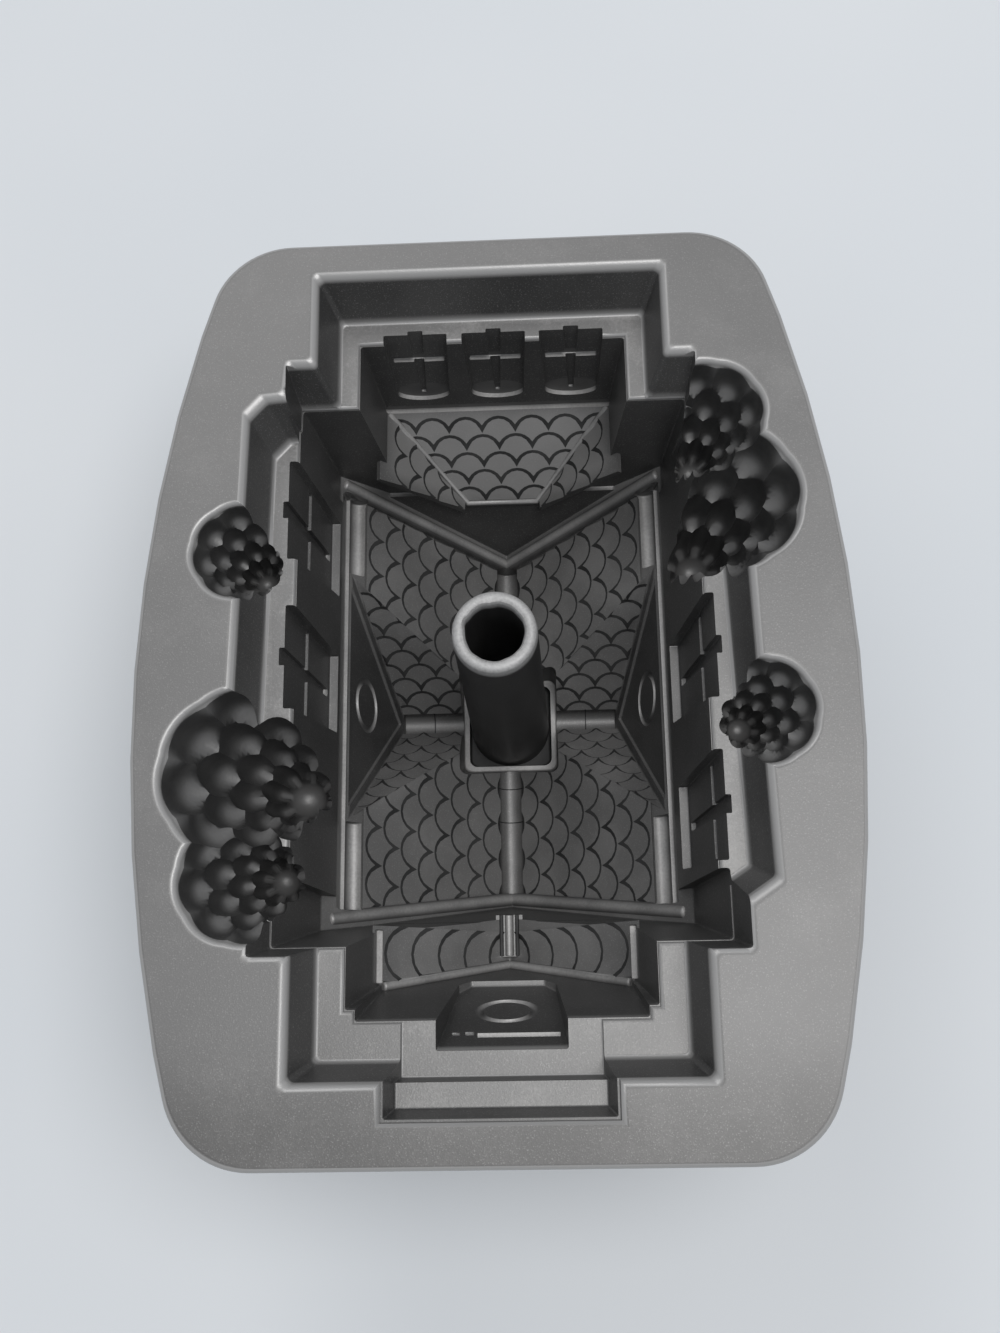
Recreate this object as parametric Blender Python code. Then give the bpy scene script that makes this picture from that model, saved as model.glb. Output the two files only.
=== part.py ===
"""Gingerbread house cake pan: a one-piece cast aluminium mould, cavity up.

The pan stands on its ridges with the flange on top. The casting is built as its
named features, each a closed wall section that meets its neighbours at a hairline
seam. Every feature starts as a solid of the cake's own shape: the pan wall is that
solid grown by the wall thickness, less the cake shapes themselves.
Depths are measured down from the top of the flange. The house's front is at -Y.
"""
import math
from itertools import combinations

import bmesh
import bpy
import numpy as np
from mathutils import Matrix, Vector

MM = 0.001

# Mesh limits
WELD = 1e-6
FLAT_ANGLE = 0.0005
SMOOTH_ANGLE = math.radians(40)
LID_UP = 0.99                # a plane facing up this squarely is a lid, and never moved out

# Casting
WALL = 3.4 * MM
CHIMNEY_DEPTH = 137.6 * MM   # the deepest point of the cake's shape
HEIGHT = CHIMNEY_DEPTH + WALL  # flange top above the surface the pan stands on
SEAM = 0.3 * MM
ABOVE = -WALL                # the cake's shapes are cut from this depth, above the flange

# Flange
RIM_LENGTH = 287 * MM
RIM_WIDTH = 217.6 * MM
RIM_SIDE_RADIUS = 1.6 * RIM_LENGTH  # the long sides bow out on this radius
RIM_WIDEST_Y = -8 * MM
RIM_CORNER = 26 * MM
RIM_SPANS = 5                # straight pieces in each half of a bowed side
RIM_CORNER_STEPS = 7
RIM_THICKNESS = 3.2 * MM
RIM_EDGE = 1.2 * MM          # chamfer round the flange's outer edge
RIM_REAR = 18.3 * MM         # bare flange behind the ground slab
RIM_FRONT = 29.1 * MM
RIM_SIDE = 37 * MM

# Ground slab: the shallow stepped recess round the house
GROUND_DEPTH = 20 * MM
FLARE_X = 5.2 * MM           # how far its walls lean out at the flange
FLARE_Y = 6.4 * MM
GROUND_REAR_Y = RIM_LENGTH / 2 - RIM_REAR
GROUND_FRONT_Y = RIM_FRONT - RIM_LENGTH / 2
GROUND_SIDE_REAR = RIM_WIDTH / 2 - RIM_SIDE
GROUND_SIDE_FRONT = GROUND_SIDE_REAR + 2.8 * MM
GROUND_CHAMFER = 4.5 * MM

# House
LEDGE = 8.5 * MM             # ground left bare beside the house
HOUSE_HALF_LEDGE = GROUND_SIDE_REAR - LEDGE
HOUSE_DRAFT = 7 * MM         # each side wall leans in by this much down to the eave
HOUSE_HALF_EAVE = HOUSE_HALF_LEDGE - HOUSE_DRAFT
CHIMNEY_RISE = 5.6 * MM      # chimney past the ridge
ROOF_RISE = 54 * MM
RIDGE_DEPTH = CHIMNEY_DEPTH - CHIMNEY_RISE
EAVE_DEPTH = RIDGE_DEPTH - ROOF_RISE

# Rear bay
BAY_LEDGE = 7.8 * MM
BAY_DRAFT = 4.4 * MM
BAY_REAR_Y = GROUND_REAR_Y - BAY_LEDGE
BAY_REAR_EAVE_Y = BAY_REAR_Y - BAY_DRAFT
BAY_HALF_LEDGE = 44.4 * MM
BAY_HALF_EAVE = BAY_HALF_LEDGE - BAY_DRAFT
BAY_EAVE_DEPTH = EAVE_DEPTH - 16.5 * MM
BAY_TOP_DEPTH = BAY_EAVE_DEPTH + 30.5 * MM
BAY_TOP_HALF = 13 * MM
BAY_TOP_Y = BAY_REAR_EAVE_Y - 24.6 * MM
BAY_WINDOW_PITCH = 26.2 * MM
BAY_WINDOW_HALF_LEDGE = 10.6 * MM
BAY_WINDOW_HALF_TOP = 9.2 * MM
BAY_WINDOW_DEPTH = BAY_EAVE_DEPTH - 9 * MM
BAY_WINDOW_RELIEF = 2.4 * MM
GROUND_REAR_HALF = BAY_HALF_LEDGE + 6.2 * MM

# Front porch
PORCH_LEDGE = 10.8 * MM
PORCH_FRONT_Y = GROUND_FRONT_Y + PORCH_LEDGE
PORCH_HALF_LEDGE = 46.4 * MM
PORCH_HALF_EAVE = PORCH_HALF_LEDGE - 4.9 * MM
PORCH_EAVE_DEPTH = EAVE_DEPTH - 18 * MM
PORCH_RIDGE_DEPTH = PORCH_EAVE_DEPTH + 33 * MM
PORCH_RIDGE_Y = PORCH_FRONT_Y + 20 * MM
GROUND_FRONT_HALF = PORCH_HALF_LEDGE + 8.2 * MM

# Gable slabs across the house's two ends
GABLE_STEP = 5 * MM          # the slab's roof line is this much shallower
GABLE_WIDTH = 13 * MM
GABLE_REAR_HALF_TOP = HOUSE_HALF_LEDGE + 3.1 * MM
GABLE_REAR_HALF_EAVE = HOUSE_HALF_EAVE + 1.6 * MM
GABLE_REAR_Y = BAY_REAR_Y - 23.4 * MM
GABLE_REAR_INNER_Y = GABLE_REAR_Y - GABLE_WIDTH
GABLE_REAR_EAVE_Y = GABLE_REAR_Y - 2 * MM
GABLE_REAR_RIDGE_Y = GABLE_REAR_EAVE_Y - 13.4 * MM
GABLE_FRONT_HALF_TOP = HOUSE_HALF_LEDGE + 6.9 * MM
GABLE_FRONT_HALF_EAVE = HOUSE_HALF_EAVE + 4.2 * MM
GABLE_FRONT_Y = PORCH_FRONT_Y + 22.5 * MM
GABLE_FRONT_INNER_Y = GABLE_FRONT_Y + 15.6 * MM
GABLE_FRONT_EAVE_Y = GABLE_FRONT_Y + 10.8 * MM
GABLE_FRONT_RIDGE_Y = GABLE_FRONT_EAVE_Y + 12.1 * MM

# Main roof's two ends
ROOF_REAR_EAVE_Y = GABLE_REAR_EAVE_Y - 5 * MM
ROOF_REAR_RIDGE_Y = GABLE_REAR_RIDGE_Y - 5.8 * MM
ROOF_FRONT_EAVE_Y = GABLE_FRONT_EAVE_Y + 5.3 * MM
ROOF_FRONT_RIDGE_Y = GABLE_FRONT_RIDGE_Y + 4.5 * MM

# Cross gable
CROSS_SHIFT = 0.9 * MM
CROSS_Y = (ROOF_REAR_EAVE_Y + ROOF_FRONT_EAVE_Y) / 2 + CROSS_SHIFT
CROSS_SIDE = 30.3 * MM       # main roof left at each side of it, along the eave
CROSS_HALF = (ROOF_REAR_EAVE_Y - ROOF_FRONT_EAVE_Y) / 2 - CROSS_SIDE
CROSS_END_EAVE = HOUSE_HALF_EAVE - 1.3 * MM
CROSS_END_RIDGE = CROSS_END_EAVE - 14.2 * MM
ROUND_WINDOW_RADIUS = 10 * MM
ROUND_WINDOW_DEPTH = EAVE_DEPTH + ROOF_RISE / 3
ROUND_WINDOW_RELIEF = 1.6 * MM
ROUND_WINDOW_SIDES = 16

# Side windows
WINDOW_RELIEF = 3 * MM
WINDOW_DEPTH = EAVE_DEPTH - 10.5 * MM
WINDOW_HALF_LEDGE = 17 * MM
WINDOW_HALF_TOP = 14 * MM
WINDOWS_LEFT_Y = (CROSS_Y + 46.9 * MM, CROSS_Y - 2.4 * MM)
WINDOWS_RIGHT_Y = (CROSS_Y - 2.4 * MM, CROSS_Y - 52.9 * MM)

# Door and door step
DOOR_RELIEF = 8.8 * MM
DOOR_HALF_LEDGE = 19.5 * MM
DOOR_HALF_TOP = 15.5 * MM
DOOR_FRONT_Y = PORCH_FRONT_Y - DOOR_RELIEF
DOOR_TOP_Y = DOOR_FRONT_Y + 19.9 * MM
DOOR_DEPTH = PORCH_EAVE_DEPTH + 12 * MM
STEP_HALF = 29.4 * MM
STEP_TREAD = 8.4 * MM
STEP_UPPER_DEPTH = GROUND_DEPTH + 1.2 * MM
STEP_UPPER_Y = GROUND_FRONT_Y - 4.8 * MM
STEP_LOWER_DEPTH = GROUND_DEPTH - 8 * MM
STEP_LOWER_Y = STEP_UPPER_Y - STEP_TREAD
STEP_FLARE = 3 * MM

# Round beads along the eaves and caps along the ridges
EAVE_BEAD_RADIUS = 3.5 * MM
EAVE_BEAD_X = HOUSE_HALF_EAVE - 3.6 * MM
EAVE_BEAD_DEPTH = EAVE_DEPTH + 2.2 * MM
CAP_RADIUS = 4.7 * MM
BAR_SIDES = 16
CAP_DEPTH = RIDGE_DEPTH - 2.7 * MM
FOOT_HALF = 5.5 * MM         # flat strip under each ridge that the pan stands on

# Chimney and centre tube
CHIMNEY_HALF = 16 * MM
CHIMNEY_REACH = 20.8 * MM     # its walls start this far above the ridge, under the roof faces
TUBE_TOP_DEPTH = 8.7 * MM
TUBE_TOP_RADIUS = 13.3 * MM
TUBE_BASE_RADIUS = 15.2 * MM
TUBE_HOLE_TOP_RADIUS = 9.2 * MM
TUBE_HOLE_BASE_RADIUS = 11.2 * MM
TUBE_SIDES = 32
TUBE_LIP_STEPS = 6

# Trees: mouth centre and tip centre as shares of the flange's width and length, then the
# mouth radius as a share of the width and the tip's depth as a share of the deepest point
TREE_SHARES = {
    "tree_left_rear": ((-0.356, 0.131), (-0.354, 0.139), 0.070, 0.305),
    "tree_left_middle": ((-0.340, -0.111), (-0.301, -0.100), 0.117, 0.501),
    "tree_left_front": ((-0.340, -0.221), (-0.321, -0.202), 0.0855, 0.385),
    "tree_right_rear": ((0.315, 0.275), (0.305, 0.275), 0.079, 0.371),
    "tree_right_middle": ((0.329, 0.178), (0.306, 0.171), 0.1095, 0.509),
    "tree_right_front": ((0.364, -0.060), (0.350, -0.0495), 0.0725, 0.298),
}
TREES = {name: ((mouth[0] * RIM_WIDTH, mouth[1] * RIM_LENGTH), (tip[0] * RIM_WIDTH, tip[1] * RIM_LENGTH),
                radius * RIM_WIDTH, depth * CHIMNEY_DEPTH)
         for name, (mouth, tip, radius, depth) in TREE_SHARES.items()}
TREE_TIERS = 4
TREE_LOBES = 8
LOBE_POINTS = 4              # outline points on each lobe
LOBE_BULGE = 0.16            # how far a lobe swells, as a share of the tier's radius
TREE_TIP_SHARE = 0.3         # tip radius as a share of the mouth radius
TIER_DRAFT = 0.9 * MM        # each tier narrows by this much towards its foot

PAINT = {
    "casting": ((0.085, 0.086, 0.088), 0.48, 0.55),
    "rim": ((0.16, 0.161, 0.163), 0.5, 0.55),
    "tube": ((0.12, 0.121, 0.123), 0.42, 0.6),
}


def clear_scene():
    for item in list(bpy.data.objects):
        bpy.data.objects.remove(item, do_unlink=True)


def paint(item, kind):
    colour, roughness, metallic = PAINT[kind]
    made = bpy.data.materials.new(item.name)
    made.use_nodes = True
    shader = made.node_tree.nodes["Principled BSDF"]
    shader.inputs["Base Color"].default_value = (*colour, 1)
    shader.inputs["Roughness"].default_value = roughness
    shader.inputs["Metallic"].default_value = metallic
    item.data.materials.clear()
    item.data.materials.append(made)


def at(x, y, depth):
    return Vector((x, y, HEIGHT - depth))


def new_object(name, shape):
    bmesh.ops.recalc_face_normals(shape, faces=shape.faces)
    mesh = bpy.data.meshes.new(name)
    shape.to_mesh(mesh)
    shape.free()
    item = bpy.data.objects.new(name, mesh)
    bpy.context.collection.objects.link(item)
    return item


# A plane is (outward normal, a point on it)
def wall(axis, side, place_a, depth_a, place_b, depth_b):
    """Plane across `axis` through two (place, depth) lines, the deeper one second, facing `side`."""
    normal = Vector((0, 0, side * (place_b - place_a)))
    normal[axis] = side * (depth_b - depth_a)
    point = Vector((0, 0, HEIGHT - depth_a))
    point[axis] = place_a
    return normal.normalized(), point


def both_walls(axis, half_a, depth_a, half_b, depth_b, centre=0.0):
    return [wall(axis, side, centre + side * half_a, depth_a, centre + side * half_b, depth_b)
            for side in (1, -1)]


def floor(depth):
    return Vector((0, 0, -1)), at(0, 0, depth)


def lid(depth):
    return Vector((0, 0, 1)), at(0, 0, depth)


def upright(axis, side, place):
    normal = Vector((0, 0, 0))
    normal[axis] = side
    point = Vector((0, 0, 0))
    point[axis] = place
    return normal, point


def block(planes, grow=0.0):
    """Convex solid inside `planes`, every side but the lid moved out by `grow`."""
    normals = np.array([tuple(normal) for normal, _ in planes], dtype=float)
    normals /= np.linalg.norm(normals, axis=1)[:, None]
    reaches = np.einsum("ij,ij->i", normals, np.array([tuple(point) for _, point in planes], dtype=float))
    reaches += np.where(normals[:, 2] > LID_UP, 0, grow)
    shape = bmesh.new()
    corners = []
    for three in combinations(range(len(planes)), 3):
        three = list(three)
        if abs(np.linalg.det(normals[three])) < 1e-6:
            continue
        corner = np.linalg.solve(normals[three], reaches[three])
        inside = (normals @ corner <= reaches + 1e-8).all()
        if inside and all(np.linalg.norm(corner - other) > 1e-6 for other in corners):
            corners.append(corner)
    for corner in corners:
        shape.verts.new(corner)
    hull = bmesh.ops.convex_hull(shape, input=shape.verts)
    loose = [item for item in hull["geom_interior"] if isinstance(item, bmesh.types.BMVert)]
    bmesh.ops.delete(shape, geom=loose, context="VERTS")
    bmesh.ops.dissolve_limit(shape, angle_limit=0.001, verts=shape.verts, edges=shape.edges)
    return shape


def loft(rings):
    """Closed solid through rings of points, first and last ring capped."""
    shape = bmesh.new()
    rows = [[shape.verts.new(point) for point in ring] for ring in rings]
    for upper, lower in zip(rows, rows[1:]):
        count = len(upper)
        for i in range(count):
            j = (i + 1) % count
            shape.faces.new((upper[i], upper[j], lower[j], lower[i]))
    shape.faces.new(rows[0])
    shape.faces.new(list(reversed(rows[-1])))
    return shape


def offset_outline(points, reach_x, reach_y):
    """Outline moved out, by reach_x on walls across X and reach_y on walls across Y."""
    count = len(points)
    area = sum(points[i][0] * points[(i + 1) % count][1] - points[(i + 1) % count][0] * points[i][1]
               for i in range(count))
    turn = 1 if area > 0 else -1
    lines = []
    for i in range(count):
        start = Vector(points[i])
        along = (Vector(points[(i + 1) % count]) - start).normalized()
        out = Vector((along.y, -along.x)) * turn
        start += out * (abs(out.x) * reach_x + abs(out.y) * reach_y)
        lines.append((start, along))
    moved = []
    for i in range(count):
        (p, r), (q, s) = lines[i - 1], lines[i]
        cross = r.x * s.y - r.y * s.x
        step = ((q - p).x * s.y - (q - p).y * s.x) / cross
        moved.append(p + r * step)
    return moved


def mirrored(half):
    """Closed outline from its right half, listed from rear to front."""
    return half + [(-x, y) for x, y in reversed(half)]


def ground_outline():
    corner = GROUND_CHAMFER
    return mirrored([
        (GROUND_REAR_HALF, GROUND_REAR_Y),
        (GROUND_REAR_HALF, GABLE_REAR_Y),
        (GABLE_REAR_HALF_TOP - FLARE_X / 2, GABLE_REAR_Y),
        (GABLE_REAR_HALF_TOP, GABLE_REAR_INNER_Y),
        (GROUND_SIDE_REAR, GABLE_REAR_INNER_Y - corner),
        (GROUND_SIDE_FRONT, GABLE_FRONT_INNER_Y + corner),
        (GABLE_FRONT_HALF_TOP - FLARE_X / 2, GABLE_FRONT_INNER_Y),
        (GABLE_FRONT_HALF_TOP - FLARE_X / 2, GABLE_FRONT_Y),
        (GROUND_FRONT_HALF, GABLE_FRONT_Y),
        (GROUND_FRONT_HALF, GROUND_FRONT_Y),
    ])


def ground(grow, top):
    foot = offset_outline(ground_outline(), grow, grow)
    rim = offset_outline(foot, FLARE_X, FLARE_Y)
    depth = GROUND_DEPTH + grow
    rise = top / depth
    upper = [a.lerp(b, rise) for a, b in zip(rim, foot)]
    return loft([[at(*p, top) for p in upper], [at(*p, depth) for p in foot]])


def roof_planes():
    return (both_walls(0, HOUSE_HALF_EAVE, EAVE_DEPTH, 0, RIDGE_DEPTH)
            + [wall(1, 1, ROOF_REAR_EAVE_Y, EAVE_DEPTH, ROOF_REAR_RIDGE_Y, RIDGE_DEPTH),
               wall(1, -1, ROOF_FRONT_EAVE_Y, EAVE_DEPTH, ROOF_FRONT_RIDGE_Y, RIDGE_DEPTH)])


def house(grow, top):
    return block(roof_planes() + both_walls(0, HOUSE_HALF_LEDGE, GROUND_DEPTH, HOUSE_HALF_EAVE, EAVE_DEPTH)
                 + [upright(1, 1, ROOF_REAR_EAVE_Y), upright(1, -1, ROOF_FRONT_EAVE_Y), lid(top)], grow)


def gable_rear(grow, top):
    pitch = (RIDGE_DEPTH - EAVE_DEPTH) / HOUSE_HALF_EAVE
    peak = RIDGE_DEPTH - GABLE_STEP
    return block(both_walls(0, GABLE_REAR_HALF_TOP, 0, GABLE_REAR_HALF_EAVE, EAVE_DEPTH)
                 + both_walls(0, GABLE_REAR_HALF_EAVE, peak - pitch * GABLE_REAR_HALF_EAVE, 0, peak)
                 + [wall(1, 1, GABLE_REAR_Y, GROUND_DEPTH, GABLE_REAR_EAVE_Y, EAVE_DEPTH),
                    wall(1, 1, GABLE_REAR_EAVE_Y, EAVE_DEPTH, GABLE_REAR_RIDGE_Y, RIDGE_DEPTH),
                    wall(1, -1, GABLE_REAR_INNER_Y, GROUND_DEPTH, ROOF_REAR_EAVE_Y - GABLE_STEP, EAVE_DEPTH),
                    lid(top)], grow)


def gable_front(grow, top):
    pitch = (RIDGE_DEPTH - EAVE_DEPTH) / HOUSE_HALF_EAVE
    peak = RIDGE_DEPTH - GABLE_STEP
    return block(both_walls(0, GABLE_FRONT_HALF_TOP, 0, GABLE_FRONT_HALF_EAVE, EAVE_DEPTH)
                 + both_walls(0, GABLE_FRONT_HALF_EAVE, peak - pitch * GABLE_FRONT_HALF_EAVE, 0, peak)
                 + [wall(1, -1, GABLE_FRONT_Y, GROUND_DEPTH, GABLE_FRONT_EAVE_Y, EAVE_DEPTH),
                    wall(1, -1, GABLE_FRONT_EAVE_Y, EAVE_DEPTH, GABLE_FRONT_RIDGE_Y, RIDGE_DEPTH),
                    upright(1, 1, GABLE_FRONT_INNER_Y + GABLE_STEP), lid(top)], grow)


def cross_gable(side):
    def make(grow, top):
        return block([wall(1, 1, CROSS_Y + CROSS_HALF, EAVE_DEPTH, CROSS_Y, RIDGE_DEPTH),
                      wall(1, -1, CROSS_Y - CROSS_HALF, EAVE_DEPTH, CROSS_Y, RIDGE_DEPTH),
                      wall(0, side, side * CROSS_END_EAVE, EAVE_DEPTH, side * CROSS_END_RIDGE, RIDGE_DEPTH),
                      upright(0, -side, 0), lid(max(top, EAVE_DEPTH))], grow)
    return make


def round_window(side):
    lean = (CROSS_END_EAVE - CROSS_END_RIDGE) / (RIDGE_DEPTH - EAVE_DEPTH)

    def make(grow, top):
        place = CROSS_END_EAVE - lean * (ROUND_WINDOW_DEPTH - EAVE_DEPTH)
        radius = ROUND_WINDOW_RADIUS + grow
        rings = []
        for reach in (-4 * ROUND_WINDOW_RELIEF, ROUND_WINDOW_RELIEF + grow):
            ring = []
            for i in range(ROUND_WINDOW_SIDES):
                turn = math.tau * i / ROUND_WINDOW_SIDES
                drop = radius * math.sin(turn)
                x = place + reach - lean * drop
                ring.append(at(side * x, CROSS_Y + radius * math.cos(turn), ROUND_WINDOW_DEPTH + drop))
            rings.append(ring)
        return loft(rings)
    return make


def bay(grow, top):
    return block(both_walls(0, BAY_HALF_LEDGE, GROUND_DEPTH, BAY_HALF_EAVE, BAY_EAVE_DEPTH)
                 + both_walls(0, BAY_HALF_EAVE, BAY_EAVE_DEPTH, BAY_TOP_HALF, BAY_TOP_DEPTH)
                 + [wall(1, 1, BAY_REAR_Y, GROUND_DEPTH, BAY_REAR_EAVE_Y, BAY_EAVE_DEPTH),
                    wall(1, 1, BAY_REAR_EAVE_Y, BAY_EAVE_DEPTH, BAY_TOP_Y, BAY_TOP_DEPTH),
                    floor(BAY_TOP_DEPTH), upright(1, -1, GABLE_REAR_INNER_Y), lid(top)], grow)


def bay_window(index):
    def make(grow, top):
        lean = (BAY_REAR_Y - BAY_REAR_EAVE_Y) / (BAY_EAVE_DEPTH - GROUND_DEPTH)
        y_ledge = BAY_REAR_Y + BAY_WINDOW_RELIEF
        y_top = y_ledge - lean * (BAY_WINDOW_DEPTH - GROUND_DEPTH)
        return block(both_walls(0, BAY_WINDOW_HALF_LEDGE, GROUND_DEPTH, BAY_WINDOW_HALF_TOP,
                                BAY_WINDOW_DEPTH, index * BAY_WINDOW_PITCH)
                     + [wall(1, 1, y_ledge, GROUND_DEPTH, y_top, BAY_WINDOW_DEPTH),
                        floor(BAY_WINDOW_DEPTH), upright(1, -1, BAY_REAR_EAVE_Y - 2 * WALL),
                        lid(max(top, GROUND_DEPTH - WALL))], grow)
    return make


def side_window(side, centre):
    def make(grow, top):
        lean = (HOUSE_HALF_LEDGE - HOUSE_HALF_EAVE) / (EAVE_DEPTH - GROUND_DEPTH)
        x_ledge = HOUSE_HALF_LEDGE + WINDOW_RELIEF
        x_top = x_ledge - lean * (WINDOW_DEPTH - GROUND_DEPTH)
        return block(both_walls(1, WINDOW_HALF_LEDGE, GROUND_DEPTH, WINDOW_HALF_TOP, WINDOW_DEPTH, centre)
                     + [wall(0, side, side * x_ledge, GROUND_DEPTH, side * x_top, WINDOW_DEPTH),
                        floor(WINDOW_DEPTH), upright(0, -side, side * (HOUSE_HALF_EAVE - WALL)),
                        lid(max(top, GROUND_DEPTH - WALL))], grow)
    return make


def porch(grow, top):
    return block(both_walls(0, PORCH_HALF_LEDGE, GROUND_DEPTH, PORCH_HALF_EAVE, PORCH_EAVE_DEPTH)
                 + both_walls(0, PORCH_HALF_EAVE, PORCH_EAVE_DEPTH, 0, PORCH_RIDGE_DEPTH)
                 + [wall(1, -1, PORCH_FRONT_Y, GROUND_DEPTH, PORCH_RIDGE_Y, PORCH_RIDGE_DEPTH),
                    upright(1, 1, GABLE_FRONT_EAVE_Y + GABLE_STEP), lid(top)], grow)


def door(grow, top):
    return block(both_walls(0, DOOR_HALF_LEDGE, GROUND_DEPTH, DOOR_HALF_TOP, DOOR_DEPTH)
                 + [wall(1, -1, DOOR_FRONT_Y, GROUND_DEPTH, DOOR_TOP_Y, DOOR_DEPTH), floor(DOOR_DEPTH),
                    upright(1, 1, PORCH_RIDGE_Y), lid(max(top, GROUND_DEPTH - WALL))], grow)


def step_upper(grow, top):
    return block(both_walls(0, STEP_HALF + STEP_FLARE, 0, STEP_HALF, STEP_UPPER_DEPTH)
                 + [wall(1, -1, STEP_UPPER_Y - STEP_FLARE, 0, STEP_UPPER_Y, STEP_UPPER_DEPTH),
                    floor(STEP_UPPER_DEPTH), upright(1, 1, PORCH_FRONT_Y), lid(top)], grow)


def step_lower(grow, top):
    return block(both_walls(0, STEP_HALF + STEP_FLARE, 0, STEP_HALF, STEP_LOWER_DEPTH)
                 + [wall(1, -1, STEP_LOWER_Y - STEP_FLARE, 0, STEP_LOWER_Y, STEP_LOWER_DEPTH),
                    floor(STEP_LOWER_DEPTH), upright(1, 1, PORCH_FRONT_Y), lid(top)], grow)


def tree(name):
    mouth, tip, radius, depth = TREES[name]
    tip_radius = radius * TREE_TIP_SHARE
    body = depth - tip_radius

    def ring(level, size, lobes, shift, count):
        share = level / depth
        x = mouth[0] + (tip[0] - mouth[0]) * share
        y = mouth[1] + (tip[1] - mouth[1]) * share
        points = []
        for i in range(count):
            turn = math.tau * i / count
            swell = math.sin(math.pi * ((i + shift) % LOBE_POINTS + 0.5) / LOBE_POINTS)
            reach = size * (1 - (LOBE_BULGE * (1 - swell) if lobes else 0))
            points.append(at(x + reach * math.cos(turn), y + reach * math.sin(turn), level))
        return points

    def cup(top):
        count = TREE_LOBES * LOBE_POINTS
        rings = []
        for tier in range(TREE_TIERS):
            size = radius * (1 - (1 - TREE_TIP_SHARE) * tier / (TREE_TIERS - 1))
            shift = tier * LOBE_POINTS // 2
            upper = body * tier / TREE_TIERS if tier else top
            lower = body * (tier + 1) / TREE_TIERS
            rings.append(ring(upper, size, True, shift, count))
            rings.append(ring(lower, size - TIER_DRAFT, True, shift, count))
        rings.append(ring(depth, tip_radius / 2, False, 0, count))
        return loft(rings)

    def make(grow, top):
        if grow == 0:
            return cup(top)
        count = 2 * TREE_LOBES
        return loft([ring(top, radius + grow, False, 0, count),
                     ring(body / TREE_TIERS + grow, radius + grow, False, 0, count),
                     ring(body + grow, tip_radius + grow, False, 0, count),
                     ring(depth + grow, tip_radius / 2 + grow / 2, False, 0, count)])
    return make


def round_bar(start, end, radius):
    """Round bar between two points."""
    along = end - start
    shape = bmesh.new()
    place = Matrix.Translation((start + end) / 2) @ along.to_track_quat("Z", "Y").to_matrix().to_4x4()
    bmesh.ops.create_cone(shape, cap_ends=True, segments=BAR_SIDES, radius1=radius, radius2=radius,
                          depth=along.length, matrix=place)
    return shape


def ridge_cap(axis, start, end):
    centre = CROSS_Y if axis == 0 else 0
    low, high = sorted((start, end))

    def make(grow, top):
        if grow == 0:
            ends = []
            for place in (low, high):
                point = at(0, 0, CAP_DEPTH)
                point[axis] = place
                point[1 - axis] = centre
                ends.append(point)
            return round_bar(*ends, CAP_RADIUS)
        spare = grow - WALL
        return block([upright(axis, 1, high + grow), upright(axis, -1, low - grow),
                      upright(1 - axis, 1, centre + FOOT_HALF + spare),
                      upright(1 - axis, -1, centre - FOOT_HALF - spare),
                      floor(HEIGHT + spare), lid(RIDGE_DEPTH - GABLE_STEP - WALL)])
    return make


def eave_bead(side, start, end):
    def make(grow, top):
        return round_bar(at(side * EAVE_BEAD_X, start - grow, EAVE_BEAD_DEPTH),
                         at(side * EAVE_BEAD_X, end + grow, EAVE_BEAD_DEPTH), EAVE_BEAD_RADIUS + grow)
    return make


def chimney(grow, top):
    return block(both_walls(0, CHIMNEY_HALF, RIDGE_DEPTH, CHIMNEY_HALF, CHIMNEY_DEPTH)
                 + both_walls(1, CHIMNEY_HALF, RIDGE_DEPTH, CHIMNEY_HALF, CHIMNEY_DEPTH, CROSS_Y)
                 + [floor(CHIMNEY_DEPTH), lid(RIDGE_DEPTH - CHIMNEY_REACH)], grow)


def turned(profile, centre):
    """Closed ring solid from a closed profile of (radius, depth) points."""
    shape = bmesh.new()
    rows = []
    for i in range(TUBE_SIDES):
        turn = math.tau * i / TUBE_SIDES
        rows.append([shape.verts.new(at(centre[0] + r * math.cos(turn), centre[1] + r * math.sin(turn), d))
                     for r, d in profile])
    for i, row in enumerate(rows):
        following = rows[(i + 1) % TUBE_SIDES]
        for k in range(len(profile)):
            m = (k + 1) % len(profile)
            shape.faces.new((row[k], row[m], following[m], following[k]))
    return shape


def tube():
    lip = (TUBE_TOP_RADIUS - TUBE_HOLE_TOP_RADIUS) / 2
    middle = TUBE_TOP_RADIUS - lip
    profile = [(TUBE_HOLE_BASE_RADIUS, HEIGHT), (TUBE_BASE_RADIUS, HEIGHT)]
    for i in range(TUBE_LIP_STEPS + 1):
        turn = math.pi * i / TUBE_LIP_STEPS
        profile.append((middle + lip * math.cos(turn), TUBE_TOP_DEPTH + lip - lip * math.sin(turn)))
    return turned(profile, (0, CROSS_Y))


def tube_claim():
    """The hole that the tube's foot takes in the chimney's floor."""
    shape = bmesh.new()
    bmesh.ops.create_cone(shape, cap_ends=True, segments=TUBE_SIDES, radius1=TUBE_BASE_RADIUS + SEAM,
                          radius2=TUBE_BASE_RADIUS + SEAM, depth=4 * WALL,
                          matrix=Matrix.Translation((0, CROSS_Y, WALL)))
    return shape


def rim_outline():
    points = []
    half_length = RIM_LENGTH / 2
    for side in (1, -1):
        row = []
        for i in range(-RIM_SPANS, RIM_SPANS + 1):
            y = i / RIM_SPANS * half_length
            bow = (y - RIM_WIDEST_Y) ** 2 / (2 * RIM_SIDE_RADIUS)
            row.append((side * (RIM_WIDTH / 2 - bow), y))
        points += row if side == 1 else list(reversed(row))
    return points


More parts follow.
